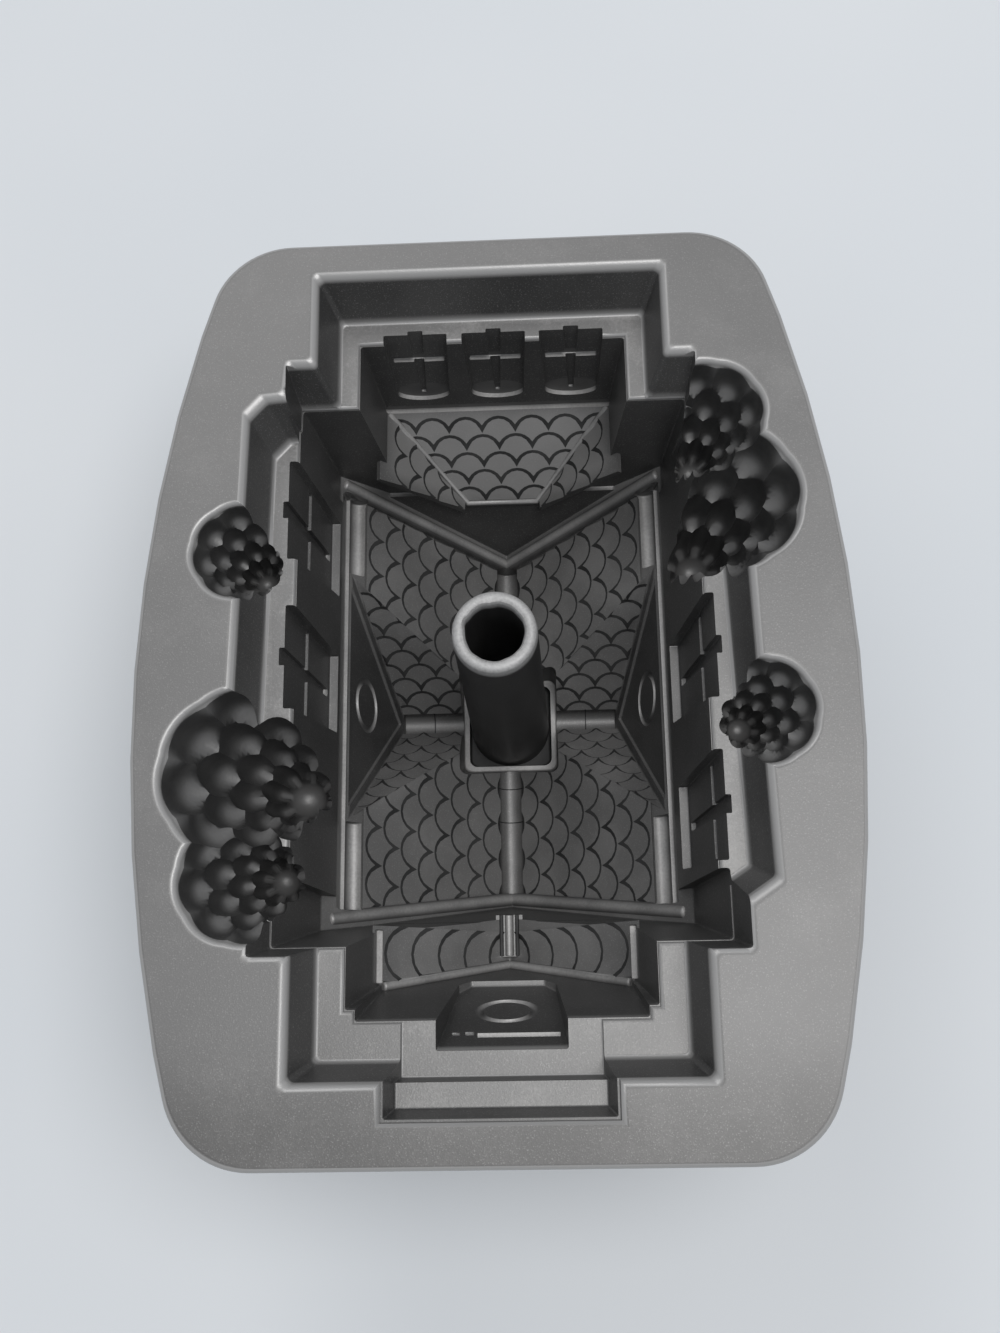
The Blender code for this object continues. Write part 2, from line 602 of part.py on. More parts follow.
def rounded(points, corners, radius, steps):
    """Outline with the vertices in `corners` rounded to `radius`."""
    result = []
    count = len(points)
    for i, point in enumerate(points):
        here = Vector(point)
        if i not in corners:
            result.append(here)
            continue
        back = (Vector(points[i - 1]) - here).normalized()
        ahead = (Vector(points[(i + 1) % count]) - here).normalized()
        half = back.angle(ahead) / 2
        centre = here + (back + ahead).normalized() * radius / math.sin(half)
        start = here + back * radius / math.tan(half) - centre
        sweep = math.pi - 2 * half
        sense = 1 if back.x * ahead.y - back.y * ahead.x < 0 else -1
        for k in range(steps + 1):
            turn = sense * sweep * k / steps
            result.append(centre + Matrix.Rotation(turn, 2) @ start)
    return result


def rim_plate():
    points = rim_outline()
    keep = []
    last = len(points) // 2 - 1
    corners = {0, last, last + 1, len(points) - 1}
    for i, point in enumerate(points):
        near = any(0 < (Vector(point) - Vector(points[c])).length < RIM_CORNER * 1.1 for c in corners)
        if i in corners or not near:
            keep.append(point)
    sharp = {i for i, point in enumerate(keep) if abs(abs(point[1]) - RIM_LENGTH / 2) < SEAM}
    outline = rounded(keep, sharp, RIM_CORNER, RIM_CORNER_STEPS)
    inset = offset_outline(outline, -RIM_EDGE, -RIM_EDGE)
    return loft([[at(*p, 0) for p in inset], [at(*p, RIM_EDGE) for p in outline],
                 [at(*p, RIM_THICKNESS - RIM_EDGE / 2) for p in outline],
                 [at(*p, RIM_THICKNESS) for p in inset]])


def is_closed(mesh):
    shape = bmesh.new()
    shape.from_mesh(mesh)
    closed = all(len(edge.link_faces) == 2 for edge in shape.edges)
    shape.free()
    return closed


def combine(item, tool, operation):
    """Boolean the tool into the item; the second solver is for where the first leaves a gap."""
    for solver in ("EXACT", "MANIFOLD"):
        step = item.modifiers.new(operation.lower(), "BOOLEAN")
        step.operation = operation
        step.solver = solver
        step.object = tool
        graph = bpy.context.evaluated_depsgraph_get()
        result = bpy.data.meshes.new_from_object(item.evaluated_get(graph))
        item.modifiers.clear()
        if result.polygons and is_closed(result):
            break
    old = item.data
    item.data = result
    bpy.data.meshes.remove(old)


def spans(item):
    """Reach along each axis; an empty mesh reaches nowhere."""
    if not item.data.vertices:
        return [(math.inf, -math.inf)] * 3
    points = [vertex.co for vertex in item.data.vertices]
    return [(min(p[k] for p in points), max(p[k] for p in points)) for k in range(3)]


def meets(one, other):
    return all(a[0] < b[1] and b[0] < a[1] for a, b in zip(spans(one), spans(other)))


def hidden(name, shape):
    item = new_object(name, shape)
    item.hide_render = True
    item.display_type = "WIRE"
    return item


def bounded(planes, grow):
    """A region: the block inside `planes`, closed off well outside the pan."""
    box = [upright(axis, side, side * RIM_LENGTH) for axis in (0, 1) for side in (1, -1)]
    return block(planes + box + [floor(2 * HEIGHT), lid(-HEIGHT)], grow)


def past(axis, side, place):
    """Region of everything past `place` towards `side`."""
    return [upright(axis, -side, place)]


def tidy(item):
    """Flatten the cut faces, then keep the feature's body without its cut-off crumbs."""
    shape = bmesh.new()
    shape.from_mesh(item.data)
    bmesh.ops.remove_doubles(shape, verts=shape.verts, dist=WELD)
    bmesh.ops.dissolve_limit(shape, angle_limit=FLAT_ANGLE, verts=shape.verts, edges=shape.edges)
    bmesh.ops.triangulate(shape, faces=shape.faces)
    left = set(shape.verts)
    bodies = []
    while left:
        body = set()
        front = [left.pop()]
        while front:
            vertex = front.pop()
            body.add(vertex)
            for link in vertex.link_edges:
                other = link.other_vert(vertex)
                if other in left:
                    left.remove(other)
                    front.append(other)
        bodies.append(body)
    bodies.sort(key=lambda body: sum(face.calc_area() for vertex in body for face in vertex.link_faces))
    for body in bodies[:-1]:
        bmesh.ops.delete(shape, geom=list(body), context="VERTS")
    shape.to_mesh(item.data)
    shape.free()


def features():
    """(name, solid, region or None) rows, in order: an earlier wall keeps its whole width."""
    rows = [
        ("chimney_box", chimney, None),
        ("ridge_front", ridge_cap(1, ROOF_FRONT_RIDGE_Y, CROSS_Y - CHIMNEY_HALF), None),
        ("ridge_rear", ridge_cap(1, CROSS_Y + CHIMNEY_HALF, ROOF_REAR_RIDGE_Y), None),
    ]
    sides = (("left", -1), ("right", 1))
    ends = (("rear", 1), ("front", -1))
    for name, side in sides:
        rows.append((f"ridge_{name}", ridge_cap(0, side * CHIMNEY_HALF, side * CROSS_END_RIDGE), None))
    for name, side in sides:
        inner = wall(0, -side, side * CROSS_END_EAVE, EAVE_DEPTH, side * CROSS_END_RIDGE, RIDGE_DEPTH)
        rows.append((f"round_window_{name}", round_window(side), [inner]))
        gable = cross_gable(side)
        rows.append((f"gable_wall_{name}", gable, [inner]))
        for end, way in ends:
            rows.append((f"cross_roof_{end}_{name}", gable, past(1, way, CROSS_Y)))
    for name, side in sides:
        rear = eave_bead(side, CROSS_Y + CROSS_HALF, ROOF_REAR_EAVE_Y)
        front = eave_bead(side, ROOF_FRONT_EAVE_Y, CROSS_Y - CROSS_HALF)
        rows += [(f"eave_bead_rear_{name}", rear, None), (f"eave_bead_front_{name}", front, None)]
    for end, way in ends:
        for name, side in sides:
            quarter = past(0, side, 0) + past(1, way, CROSS_Y)
            below = [lid(EAVE_DEPTH), upright(0, side, side * EAVE_BEAD_X)]
            rows.append((f"roof_{end}_{name}", house, quarter + below))
    rows += [("gable_rear", gable_rear, None), ("gable_front", gable_front, None)]
    for name, index in (("left", -1), ("middle", 0), ("right", 1)):
        rows.append((f"bay_window_{name}", bay_window(index), None))
    rows += [("bay_walls", bay, [floor(BAY_EAVE_DEPTH)]), ("bay_roof", bay, None), ("front_door", door, None)]
    for name, side in sides:
        rows.append((f"porch_wall_{name}", porch, past(0, side, 0) + [floor(PORCH_EAVE_DEPTH)]))
    rows.append(("porch_roof", porch, None))
    for name, side in sides:
        for (end, _), y in zip(ends, WINDOWS_LEFT_Y if side < 0 else WINDOWS_RIGHT_Y):
            rows.append((f"window_{name}_{end}", side_window(side, y), None))
    for name, side in sides:
        rows.append((f"house_wall_{name}", house, past(0, side, 0) + [floor(EAVE_DEPTH + WALL)]))
    rows += [("door_step_upper", step_upper, None), ("door_step_lower", step_lower, None)]
    rows += [(name, tree(name), None) for name in TREES]
    rows.append(("ground_rear", ground, past(1, 1, GABLE_REAR_INNER_Y)))
    for (name, side), split in zip(sides, ("tree_left_rear", "tree_right_front")):
        rows.append((f"ground_front_{name}", ground, past(1, -1, GABLE_FRONT_INNER_Y) + past(0, side, 0)))
        for end, way in ends:
            rows.append((f"ground_{name}_{end}", ground, past(0, side, 0) + past(1, way, TREES[split][0][1])))
    return rows


def build():
    clear_scene()
    rows = features()
    cake = []
    for solid in dict.fromkeys(solid for _, solid, _ in rows):
        cake.append(hidden("cake", solid(0, ABOVE)))
    claims = [hidden("claim_tube", tube_claim())]
    for name, solid, region in rows:
        item = new_object(name, solid(WALL, RIM_THICKNESS + SEAM))
        claim = hidden(f"claim_{name}", solid(WALL + SEAM, RIM_THICKNESS))
        if region:
            combine(item, hidden(f"region_{name}", bounded(region, 0)), "INTERSECT")
            combine(claim, hidden(f"region_claim_{name}", bounded(region, SEAM)), "INTERSECT")
        for tool in cake + claims:
            if meets(item, tool):
                combine(item, tool, "DIFFERENCE")
        tidy(item)
        paint(item, "casting")
        claims.append(claim)
    rim = new_object("rim_flange", rim_plate())
    for tool in cake:
        if meets(rim, tool):
            combine(rim, tool, "DIFFERENCE")
    tidy(rim)
    paint(rim, "rim")
    pipe = new_object("centre_tube", tube())
    paint(pipe, "tube")
    pipe.data.shade_smooth()
    pipe.data.set_sharp_from_angle(angle=SMOOTH_ANGLE)


build()
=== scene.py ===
"""Gingerbread house cake pan: the finished look of the casting over its fixed frame.

The casting is carved as a mould maker would: the outside is the cake's shapes grown by the
wall, joined to the flange, and the cake's shapes are then cut out of it. Beads, window bars
and roof scales follow. Depths are measured down from the flange's top; the porch is at -Y.
"""
import math

import bmesh
import bpy
from mathutils import Matrix, Vector


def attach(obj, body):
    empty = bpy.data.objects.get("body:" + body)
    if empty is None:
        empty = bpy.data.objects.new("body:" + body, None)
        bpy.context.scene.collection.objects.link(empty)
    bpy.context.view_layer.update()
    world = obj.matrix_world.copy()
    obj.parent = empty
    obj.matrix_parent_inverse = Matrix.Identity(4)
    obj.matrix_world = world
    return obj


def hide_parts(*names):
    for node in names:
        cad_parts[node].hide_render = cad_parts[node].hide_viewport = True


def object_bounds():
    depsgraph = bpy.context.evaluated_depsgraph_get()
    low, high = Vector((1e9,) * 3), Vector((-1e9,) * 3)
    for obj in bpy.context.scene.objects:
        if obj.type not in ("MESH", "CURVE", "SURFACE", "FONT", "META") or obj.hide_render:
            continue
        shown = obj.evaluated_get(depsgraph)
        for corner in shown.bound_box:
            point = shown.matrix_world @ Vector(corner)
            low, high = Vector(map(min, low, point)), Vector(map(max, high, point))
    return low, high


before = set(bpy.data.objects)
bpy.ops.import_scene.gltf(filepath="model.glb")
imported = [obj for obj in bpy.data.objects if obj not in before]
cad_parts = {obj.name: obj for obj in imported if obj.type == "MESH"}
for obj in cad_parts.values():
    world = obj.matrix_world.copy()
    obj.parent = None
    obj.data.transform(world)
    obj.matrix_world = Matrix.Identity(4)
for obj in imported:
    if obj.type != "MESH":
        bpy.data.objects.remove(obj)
cad_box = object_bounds()

# Lengths are in millimetres; only HEIGHT and finished points are in metres
MM = 0.001
HEIGHT = cad_box[1][2]

# The wall's thickness, and depths below the flange's top; the cutters start above it
WALL = 3.4
ABOVE = -6
LEDGE = 20
EAVE = 78
RIDGE = 132

# Where the cross gables' middle lies along y, and how round the mouth's and the ledge's edges are
CROSS_Y = 11.9
FLANGE_LIP = 2.3
LEDGE_LIP = 1.3

# Distances from the pan's middle: the side walls at the ledge and at the eave, the main roof's
# ends at the eave, and the cross gables' half width there
SIDE_TOP = {1: 65.8, -1: 64.0}
EAVE_HALF = 56.3
HOUSE_REAR, HOUSE_FRONT = 87, -65
CROSS_HALF = 45.7

# Leaning faces: distance at the ledge, and what they lean inwards per millimetre of depth
DOOR_FACE, DOOR_LEAN = -112.4, 21.2 / 52
BAY_FACE, BAY_LEAN = 117.4, 4.4 / 41.5
GABLE_LEAN = 14.2 / 54

# Eaves and upper ends of the porch's and the bay's roofs: depths, the bay's half widths and its y
PORCH_EAVE, PORCH_RIDGE = 60, 93
BAY_EAVE, BAY_END = 61.5, 92
BAY_HALF, BAY_END_HALF = 40, 13
BAY_EAVE_Y, BAY_END_Y = 113, 88.4

# Where the windows' pockets begin, above the ledge
POCKET_TOP = 17

# (side, y, depth of the foot, depth of the rail) of each side window, and the bay windows' x
SIDE_WINDOWS = ((-1, 58.7, 68, 44), (-1, 9.0, 68, 44), (1, 9.2, 67, 39), (1, -41.2, 64, 35))
BAY_WINDOWS = (-25.8, 0.5, 26.5)
SIDE_RELIEF, BAY_RELIEF, BAY_FOOT_RELIEF = 3.0, 3.2, 1.7

# The coats of the casting by index; 0 is the plain one, 1 paints shade into creases, 2 is a paler trim coat with
# painted highlight, 3 paints light and shade into the trees
CREASE, TRIM, HOLLOW = 1, 2, 3


# Small tools

def at(x, y, depth):
    """A point in metres."""
    return Vector((x * MM, y * MM, HEIGHT - depth * MM))


def deselect():
    bpy.ops.object.select_all(action="DESELECT")


def pick(item):
    deselect()
    item.select_set(True)
    bpy.context.view_layer.objects.active = item


def finish_place(item):
    pick(item)
    bpy.ops.object.transform_apply(location=True, rotation=True, scale=True)


def placed(name):
    """The object just added, named, with its place, turn and size applied."""
    item = bpy.context.object
    item.name = name
    finish_place(item)
    return item


def select_all():
    bpy.ops.mesh.select_all(action="SELECT")


def edit(item):
    pick(item)
    bpy.ops.object.mode_set(mode="EDIT")
    select_all()


def leave_edit():
    bpy.ops.object.mode_set(mode="OBJECT")


def close_outward():
    select_all()
    bpy.ops.mesh.normals_make_consistent(inside=False)
    leave_edit()


def drop(item):
    mesh = item.data
    bpy.data.objects.remove(item, do_unlink=True)
    bpy.data.meshes.remove(mesh)


def boolean(item, tool, operation):
    """Join the tool to the item or cut it out of it, and remove the tool."""
    step = item.modifiers.new(operation, "BOOLEAN")
    step.operation = operation
    step.solver = "MANIFOLD"
    step.object = tool
    pick(item)
    bpy.ops.object.modifier_apply(modifier=step.name)
    drop(tool)


def smooth(item, degrees):
    """Shade smooth across edges that turn less than this."""
    pick(item)
    bpy.ops.object.shade_smooth_by_angle(angle=math.radians(degrees))
    step = item.modifiers.new("weighted", "WEIGHTED_NORMAL")
    step.keep_sharp = True
    bpy.ops.object.modifier_apply(modifier=step.name)


def dress(piece, coats):
    piece.data.materials.clear()
    for coat in coats:
        piece.data.materials.append(coat)


def faced(tool, coat):
    """The walls that this tool makes in the casting take this coat."""
    dress(tool, COATS)
    for face in tool.data.polygons:
        face.material_index = coat
    return tool


# Planes: (outward normal, point)

def wall(axis, side, place_a, depth_a, place_b, depth_b):
    """A leaning plane across x (axis 0) or y (axis 1), through two places at two depths."""
    normal = Vector((0, 0, side * (place_b - place_a) * MM))
    normal[axis] = side * (depth_b - depth_a) * MM
    point = at(0, 0, depth_a)
    point[axis] = place_a * MM
    return normal.normalized(), point


def walls(axis, half_a, depth_a, half_b, depth_b, centre=0.0):
    return [wall(axis, side, centre + side * half_a, depth_a, centre + side * half_b, depth_b)
            for side in (1, -1)]


def floor(depth):
    return Vector((0, 0, -1)), at(0, 0, depth)


def lid(depth):
    return Vector((0, 0, 1)), at(0, 0, depth)


def slope(axis, side, eave, ridge):
    """A plane through two places at the eave's and the ridge's depth."""
    return wall(axis, side, eave, EAVE, ridge, RIDGE)


def upright(axis, side, place):
    normal = Vector((0, 0, 0))
    normal[axis] = side
    point = Vector((0, 0, 0))
    point[axis] = place * MM
    return normal, point


def box(side, outer, inner, rear, front, foot, top):
    """The planes of an upright box; outer and inner are measured towards the side."""
    return [upright(0, side, side * outer), upright(0, -side, side * inner), upright(1, 1, rear),
            upright(1, -1, front), floor(foot), lid(top)]


def tilted(point_a, point_b, side):
    """Upright plane through two (x, y) points, facing `side` of the line from a to b."""
    a, b = Vector(point_a) * MM, Vector(point_b) * MM
    along = (b - a).normalized()
    return Vector((along.y, -along.x, 0)) * side, Vector((a.x, a.y, 0))


def grown(planes, grow):
    """The planes moved outwards; lids stay where they are."""
    return [(n, p if n.z > 0.99 else p + n * (grow * MM)) for n, p in planes]


def bisect(planes, threshold):
    """Cut the mesh in edit mode down to the inner side of every plane."""
    for normal, point in planes:
        select_all()
        bpy.ops.mesh.bisect(plane_co=point, plane_no=normal, use_fill=True, clear_outer=True,
                            threshold=threshold)


def trim(piece, planes):
    """Cut a closed piece down to the inner side of every plane."""
    edit(piece)
    bisect(planes, 1e-7)
    leave_edit()
    return piece


def carve(name, planes, rounding, segments=2):
    """A block larger than the pan, cut down by every plane, with its edges rounded."""
    deselect()
    bpy.ops.mesh.primitive_cube_add(size=0.6, location=(0, 0, HEIGHT / 2))
    piece = placed(name)
    edit(piece)
    bisect(planes, 1e-6)
    select_all()
    bpy.ops.mesh.remove_doubles(threshold=2e-6)
    bpy.ops.mesh.dissolve_limited(angle_limit=0.001)
    if rounding:
        select_all()
        bpy.ops.mesh.bevel(offset=rounding * MM, segments=segments, affect="EDGES", clamp_overlap=True)
    bpy.ops.mesh.normals_make_consistent(inside=False)
    leave_edit()
    return piece


def strip(name, planes, coat=0):
    """A narrow cutter with finely broken edges."""
    return faced(carve(name, planes, 0.3, 1), coat)


def lip(name, sides, depth, radius, extra):
    """Cutters that round the edge where walls meet a ledge at `depth`.

    sides holds (axis, side, place at that depth); extra holds planes that end the edge."""
    turns = [math.radians(a) for a in (0, 30, 60, 90)]
    made = []
    for start, end in zip(turns, turns[1:]):
        near = (radius * (1 - math.cos(start)), depth + radius * (1 - math.sin(start)))
        far = (radius * (1 - math.cos(end)), depth + radius * (1 - math.sin(end)))
        planes = [wall(axis, side, place + side * far[0], far[1], place + side * near[0], near[1])
                  for axis, side, place in sides]
        made.append(carve(name, planes + [floor(near[1]), lid(depth - 0.3)] + extra, 0))
    return made


# Outlines extruded level by level

def offset_outline(points, reach_x, reach_y):
    """The outline moved outwards: reach_x for sides that face x, reach_y for those that face y."""
    count = len(points)
    area = sum(points[i][0] * points[(i + 1) % count][1] - points[(i + 1) % count][0] * points[i][1]
               for i in range(count))
    turn = 1 if area > 0 else -1
    lines = []
    for i in range(count):
        start = Vector(points[i])
        along = (Vector(points[(i + 1) % count]) - start).normalized()
        out = Vector((along.y, -along.x)) * turn
        lines.append((start + out * (abs(out.x) * reach_x + abs(out.y) * reach_y), along))
    moved = []
    for i in range(count):
        (p, r), (q, s) = lines[i - 1], lines[i]
        cross = r.x * s.y - r.y * s.x
        if abs(cross) < 1e-4:
            moved.append(q)
            continue
        step = ((q - p).x * s.y - (q - p).y * s.x) / cross
        moved.append(p + r * step)
    return moved


def extrude_levels(name, levels):
    """A filled outline extruded from level to level; each level lists its corners' places in metres."""
    deselect()
    bpy.ops.mesh.primitive_circle_add(vertices=len(levels[0]), radius=0.1, fill_type="NGON")
    piece = placed(name)
    edit(piece)
    shape = bmesh.from_edit_mesh(piece.data)
    place = shape.verts.layers.int.new("place")
    for i, corner in enumerate(next(iter(shape.faces)).verts):
        corner[place] = i
    for i, places in enumerate(levels):
        if i:
            bmesh.update_edit_mesh(piece.data)
            bpy.ops.mesh.extrude_region_move(TRANSFORM_OT_translate={"value": (0, 0, 0)})
            shape = bmesh.from_edit_mesh(piece.data)
            place = shape.verts.layers.int["place"]
        for corner in shape.verts:
            if corner.select:
                corner.co = places[corner[place]]
    shape.verts.layers.int.remove(place)
    bmesh.update_edit_mesh(piece.data)
    close_outward()
    return piece


def extrude_outline(name, levels):
    """The same from (outline, depth) pairs in millimetres."""
    return extrude_levels(name, [[at(*point, depth) for point in outline] for outline, depth in levels])


def arc_levels(radius):
    """(outward offset, depth) pairs down a rounded mouth edge."""
    steps = 4
    turns = [math.pi / 2 * (1 - k / steps) for k in range(steps + 1)]
    return [(radius * (1 - math.cos(t)), radius * (1 - math.sin(t))) for t in turns]


# Flange and ground

def flange_outline():
    """The flange's corners: straight ends, and long sides that bow."""
    end, widest, widest_y, bow = 143.5, 108.8, -8, 918
    points = []
    for side in (1, -1):
        row = [(side * (widest - (y - widest_y) ** 2 / bow), y)
               for y in (-end, -112, -84, -56, -28, 0, 28, 56, 84, 112, end)]
        points += row[::side]
    return points


def rounded(points, corners, radius, steps):
    """The outline with the listed corners turned into arcs."""
    result = []
    count = len(points)
    for i, point in enumerate(points):
        here = Vector(point)
        if i not in corners:
            result.append(here)
            continue
        back = (Vector(points[i - 1]) - here).normalized()
        ahead = (Vector(points[(i + 1) % count]) - here).normalized()
        half = back.angle(ahead) / 2
        centre = here + (back + ahead).normalized() * radius / math.sin(half)
        start = here + back * radius / math.tan(half) - centre
        sense = 1 if back.x * ahead.y - back.y * ahead.x < 0 else -1
        for k in range(steps + 1):
            turn = sense * (math.pi - 2 * half) * k / steps
            result.append(centre + Matrix.Rotation(turn, 2) @ start)
    return result


def make_flange():
    """The flat flange with its half-round outer edge."""
    ends, corner_radius, arc_steps = {0, 10, 11, 21}, 26, 14
    edge, edge_steps = 1.55, 8
    outline = rounded(flange_outline(), ends, corner_radius, arc_steps)
    levels = []
    for k in range(edge_steps + 1):
        turn = math.pi * k / edge_steps
        inset = -edge * (1 - math.sin(turn))
        levels.append((offset_outline(outline, inset, inset), edge * (1 - math.cos(turn))))
    return extrude_outline("casting", levels)


def ground_outline():
    """The ground around the house at the ledge."""
    half = [(50.6, 125.2), (50.6, 94), (58.8, 94), (59.6, 82.8), (66.6, 82.2), (71.8, 76.5), (74.6, -60),
            (65.8, -65.8), (65.8, -79), (54.6, -79), (54.6, -114.4)]
    return half + [(-x, y) for x, y in reversed(half)]


def make_ground(grow):
    """The ground's cutter, or its shell where grow is the wall's thickness."""
    draft_x, draft_y = 5.2, 6.4
    foot = offset_outline(ground_outline(), grow, grow)
    corners = set(range(len(foot)))
    if grow:
        levels = [(offset_outline(foot, draft_x, draft_y), 1.5)]
    else:
        levels = []
        for out, depth in [(FLANGE_LIP, ABOVE)] + arc_levels(FLANGE_LIP):
            share = 1 - max(depth, 0) / LEDGE
            levels.append((offset_outline(foot, draft_x * share + out, draft_y * share + out), depth))
        levels.append((offset_outline(foot, 0.35, 0.43), LEDGE - 0.9))
        foot = offset_outline(foot, -0.8, -0.8)
    levels.append((foot, LEDGE + grow))
    return extrude_outline("ground", [(rounded(outline, corners, 1.8, 4), depth)
                                      for outline, depth in levels])


# Trees: mouth centre, tip centre, mouth radius, tip depth
TREES = {
    "tree_left_rear": ((-77.5, 37.5), (-77.0, 40.0), 15.2, 42),
    "tree_left_middle": ((-74.0, -32.0), (-65.5, -28.6), 25.5, 69),
    "tree_left_front": ((-74.0, -63.5), (-69.8, -58.0), 18.6, 53),
    "tree_right_rear": ((68.5, 79.0), (66.3, 79.0), 17.2, 51),
    "tree_right_middle": ((71.5, 51.0), (66.6, 49.2), 23.8, 70),
    "tree_right_front": ((79.2, -17.1), (76.2, -14.2), 15.8, 41),
}


def tree_reach(radius, depth, level, turn):
    """Radius of the lobed tree at a depth and an angle: the outermost of its round lobes."""
    tiers, lobes = 4, 8
    ball = radius * 0.27
    body = depth - ball
    reach = 0.0
    below = abs(level - body) / ball
    if below < 1:
        reach = ball * math.sqrt(1 - below * below)
    for tier in range(tiers):
        size = radius * (1 - 0.76 * tier / tiers)
        lobe = size * 0.32
        height = body / tiers * 1.3
        middle = body * (tier + 1.0) / tiers - height * 0.5
        squash = 1 - abs((level - middle) / (height * 0.6)) ** 2.6
        if tier == 0 and level < middle:
            squash = 1.0
        if squash <= 0:
            continue
        wide = lobe * math.sqrt(squash)
        ring_radius = size - lobe
        for k in range(lobes):
            off = turn - math.tau * (k + 0.5 * (tier % 2) + 0.25) / lobes
            across = ring_radius * math.sin(off)
            if math.cos(off) > 0 and abs(across) < wide:
                reach = max(reach, ring_radius * math.cos(off) + math.sqrt(wide * wide - across * across))
        reach = max(reach, ring_radius * 0.78 * math.sqrt(squash))
    open_share = min(1.0, max(0.0, (level - 1.5) / 5)) ** 0.8
    return max(reach, radius) * (1 - open_share) + reach * open_share


def tree_levels(depth, grow, rows):
    """The depth of each row from the mouth to the tip, closer together where the edge is round."""
    if grow:
        return [2.0 + (depth - 2.0) * k / (rows - 2) for k in range(rows - 1)]
    mouth = [ABOVE, 0, 0.15, 0.45, 0.85, 1.4, 2.0]
    tail = [0.72, 0.3, 0.08]
    rest = rows - 1 - len(mouth) - len(tail)
    return (mouth + [2.6 + (depth - 4.0) * k / (rest - 1) for k in range(rest)]
            + [depth - part for part in tail])


def make_tree(name, grow, around, rows):
    """A ball pulled into a tree, row by row, from its mouth to its tip."""
    mouth, tip, radius, depth = TREES[name]
    levels = tree_levels(depth, grow, rows)
    deselect()
    bpy.ops.mesh.primitive_uv_sphere_add(segments=around, ring_count=rows, radius=1)
    piece = bpy.context.object
    piece.name = name
    edit(piece)
    shape = bmesh.from_edit_mesh(piece.data)
    for corner in shape.verts:
        row = round((0.5 - math.asin(max(-1, min(1, corner.co.z))) / math.pi) * rows)
        turn = math.atan2(corner.co.y, corner.co.x)
        level = levels[max(0, min(row - 1, rows - 2))]
        if grow:
            size = tree_reach(radius, depth, max(level - 1, 2), turn) + grow
            deep = level + grow * max(0, (level - 2) / (depth - 2)) ** 2
        else:
            size = tree_reach(radius, depth, max(min(level, depth - 0.02), 2), turn)
            if level < FLANGE_LIP:
                size += FLANGE_LIP - math.sqrt(FLANGE_LIP ** 2 - (FLANGE_LIP - max(level, 0)) ** 2)
            deep = level
        if row in (0, rows):
            size = 0
        share = max(level, 0) / depth
        x = mouth[0] + (tip[0] - mouth[0]) * share
        y = mouth[1] + (tip[1] - mouth[1]) * share
        corner.co = at(x + size * math.cos(turn), y + size * math.sin(turn), deep)
    bmesh.update_edit_mesh(piece.data)
    close_outward()
    return piece


# The cake's blocks as lists of planes

PITCH = 54 / EAVE_HALF
PEAK = RIDGE - 5.5


def gable_slopes(half):
    """A gable's two upper edges, as steep as the main roof."""
    return walls(0, half, PEAK - PITCH * half, 0, PEAK)


HOUSE = (walls(0, EAVE_HALF, EAVE, 0, RIDGE) + [slope(1, 1, HOUSE_REAR, 72.8), slope(1, -1, HOUSE_FRONT, -53.7)]
         + [wall(0, side, side * SIDE_TOP[side], LEDGE, side * EAVE_HALF, EAVE) for side in (1, -1)]
         + [upright(1, 1, HOUSE_REAR), upright(1, -1, HOUSE_FRONT)])
GABLE_REAR = (walls(0, 65.2, 0, 57.9, EAVE) + gable_slopes(57.9)
              + [wall(1, 1, 94, LEDGE, 92, EAVE), wall(1, -1, 81, LEDGE, 82, EAVE), floor(EAVE + 8)])
RAKE_REAR = gable_slopes(57.9) + [slope(1, 1, 92, 78.6), slope(1, -1, 86, 71.8)]
GABLE_FRONT = (walls(0, 71.8, 0, 60.5, EAVE) + gable_slopes(60.5)
               + [wall(1, -1, -81.8, LEDGE, -70.3, EAVE), upright(1, 1, -60.5), floor(EAVE + 8)])
RAKE_FRONT = gable_slopes(60.5) + [slope(1, -1, -70.3, -58.2), slope(1, 1, -64, -52.7)]
BAY = (walls(0, 44.4, LEDGE, BAY_HALF, BAY_EAVE) + walls(0, BAY_HALF, BAY_EAVE, BAY_END_HALF, BAY_END)
       + [wall(1, 1, BAY_FACE, LEDGE, BAY_EAVE_Y, BAY_EAVE), wall(1, 1, BAY_EAVE_Y, BAY_EAVE, BAY_END_Y, BAY_END),
          floor(BAY_END), upright(1, -1, 81)])
PORCH_ROOF = walls(0, 41.5, PORCH_EAVE, 0, PORCH_RIDGE)
PORCH = (walls(0, 46.4, LEDGE, 41.5, PORCH_EAVE) + PORCH_ROOF
         + [wall(1, -1, -100.2, LEDGE, -91, PORCH_EAVE), upright(1, 1, -65.3)])
PORCH_FACE = (walls(0, 43.4, LEDGE, 40.6, PORCH_EAVE) + PORCH_ROOF
              + [wall(1, -1, -103.6, LEDGE, -83.6, PORCH_RIDGE), upright(1, 1, -75)])
DOOR = (walls(0, 19.5, LEDGE, 15.5, 72) + walls(0, 15.5, 67, 12.2, 72)
        + [wall(1, -1, DOOR_FACE, LEDGE, -91.2, 72), floor(72), upright(1, 1, -84)])


def cross_gable(side):
    return [slope(1, 1, CROSS_Y + CROSS_HALF, CROSS_Y), slope(1, -1, CROSS_Y - CROSS_HALF, CROSS_Y),
            slope(0, side, side * 55, side * 40.8), upright(0, -side, 0)]


def gable_mouth(side):
    """The corner where the rear gable's slot opens on the ledge."""
    return [wall(0, side, side * 65.2, 0, side * 63.3, LEDGE), wall(1, 1, 100.4, 0, 94, LEDGE),
            upright(0, -side, side * 50), upright(1, -1, 84), floor(LEDGE)]


def both(half):
    """The lip sides of a block that lies in the middle."""
    return [(0, side, side * half) for side in (1, -1)]


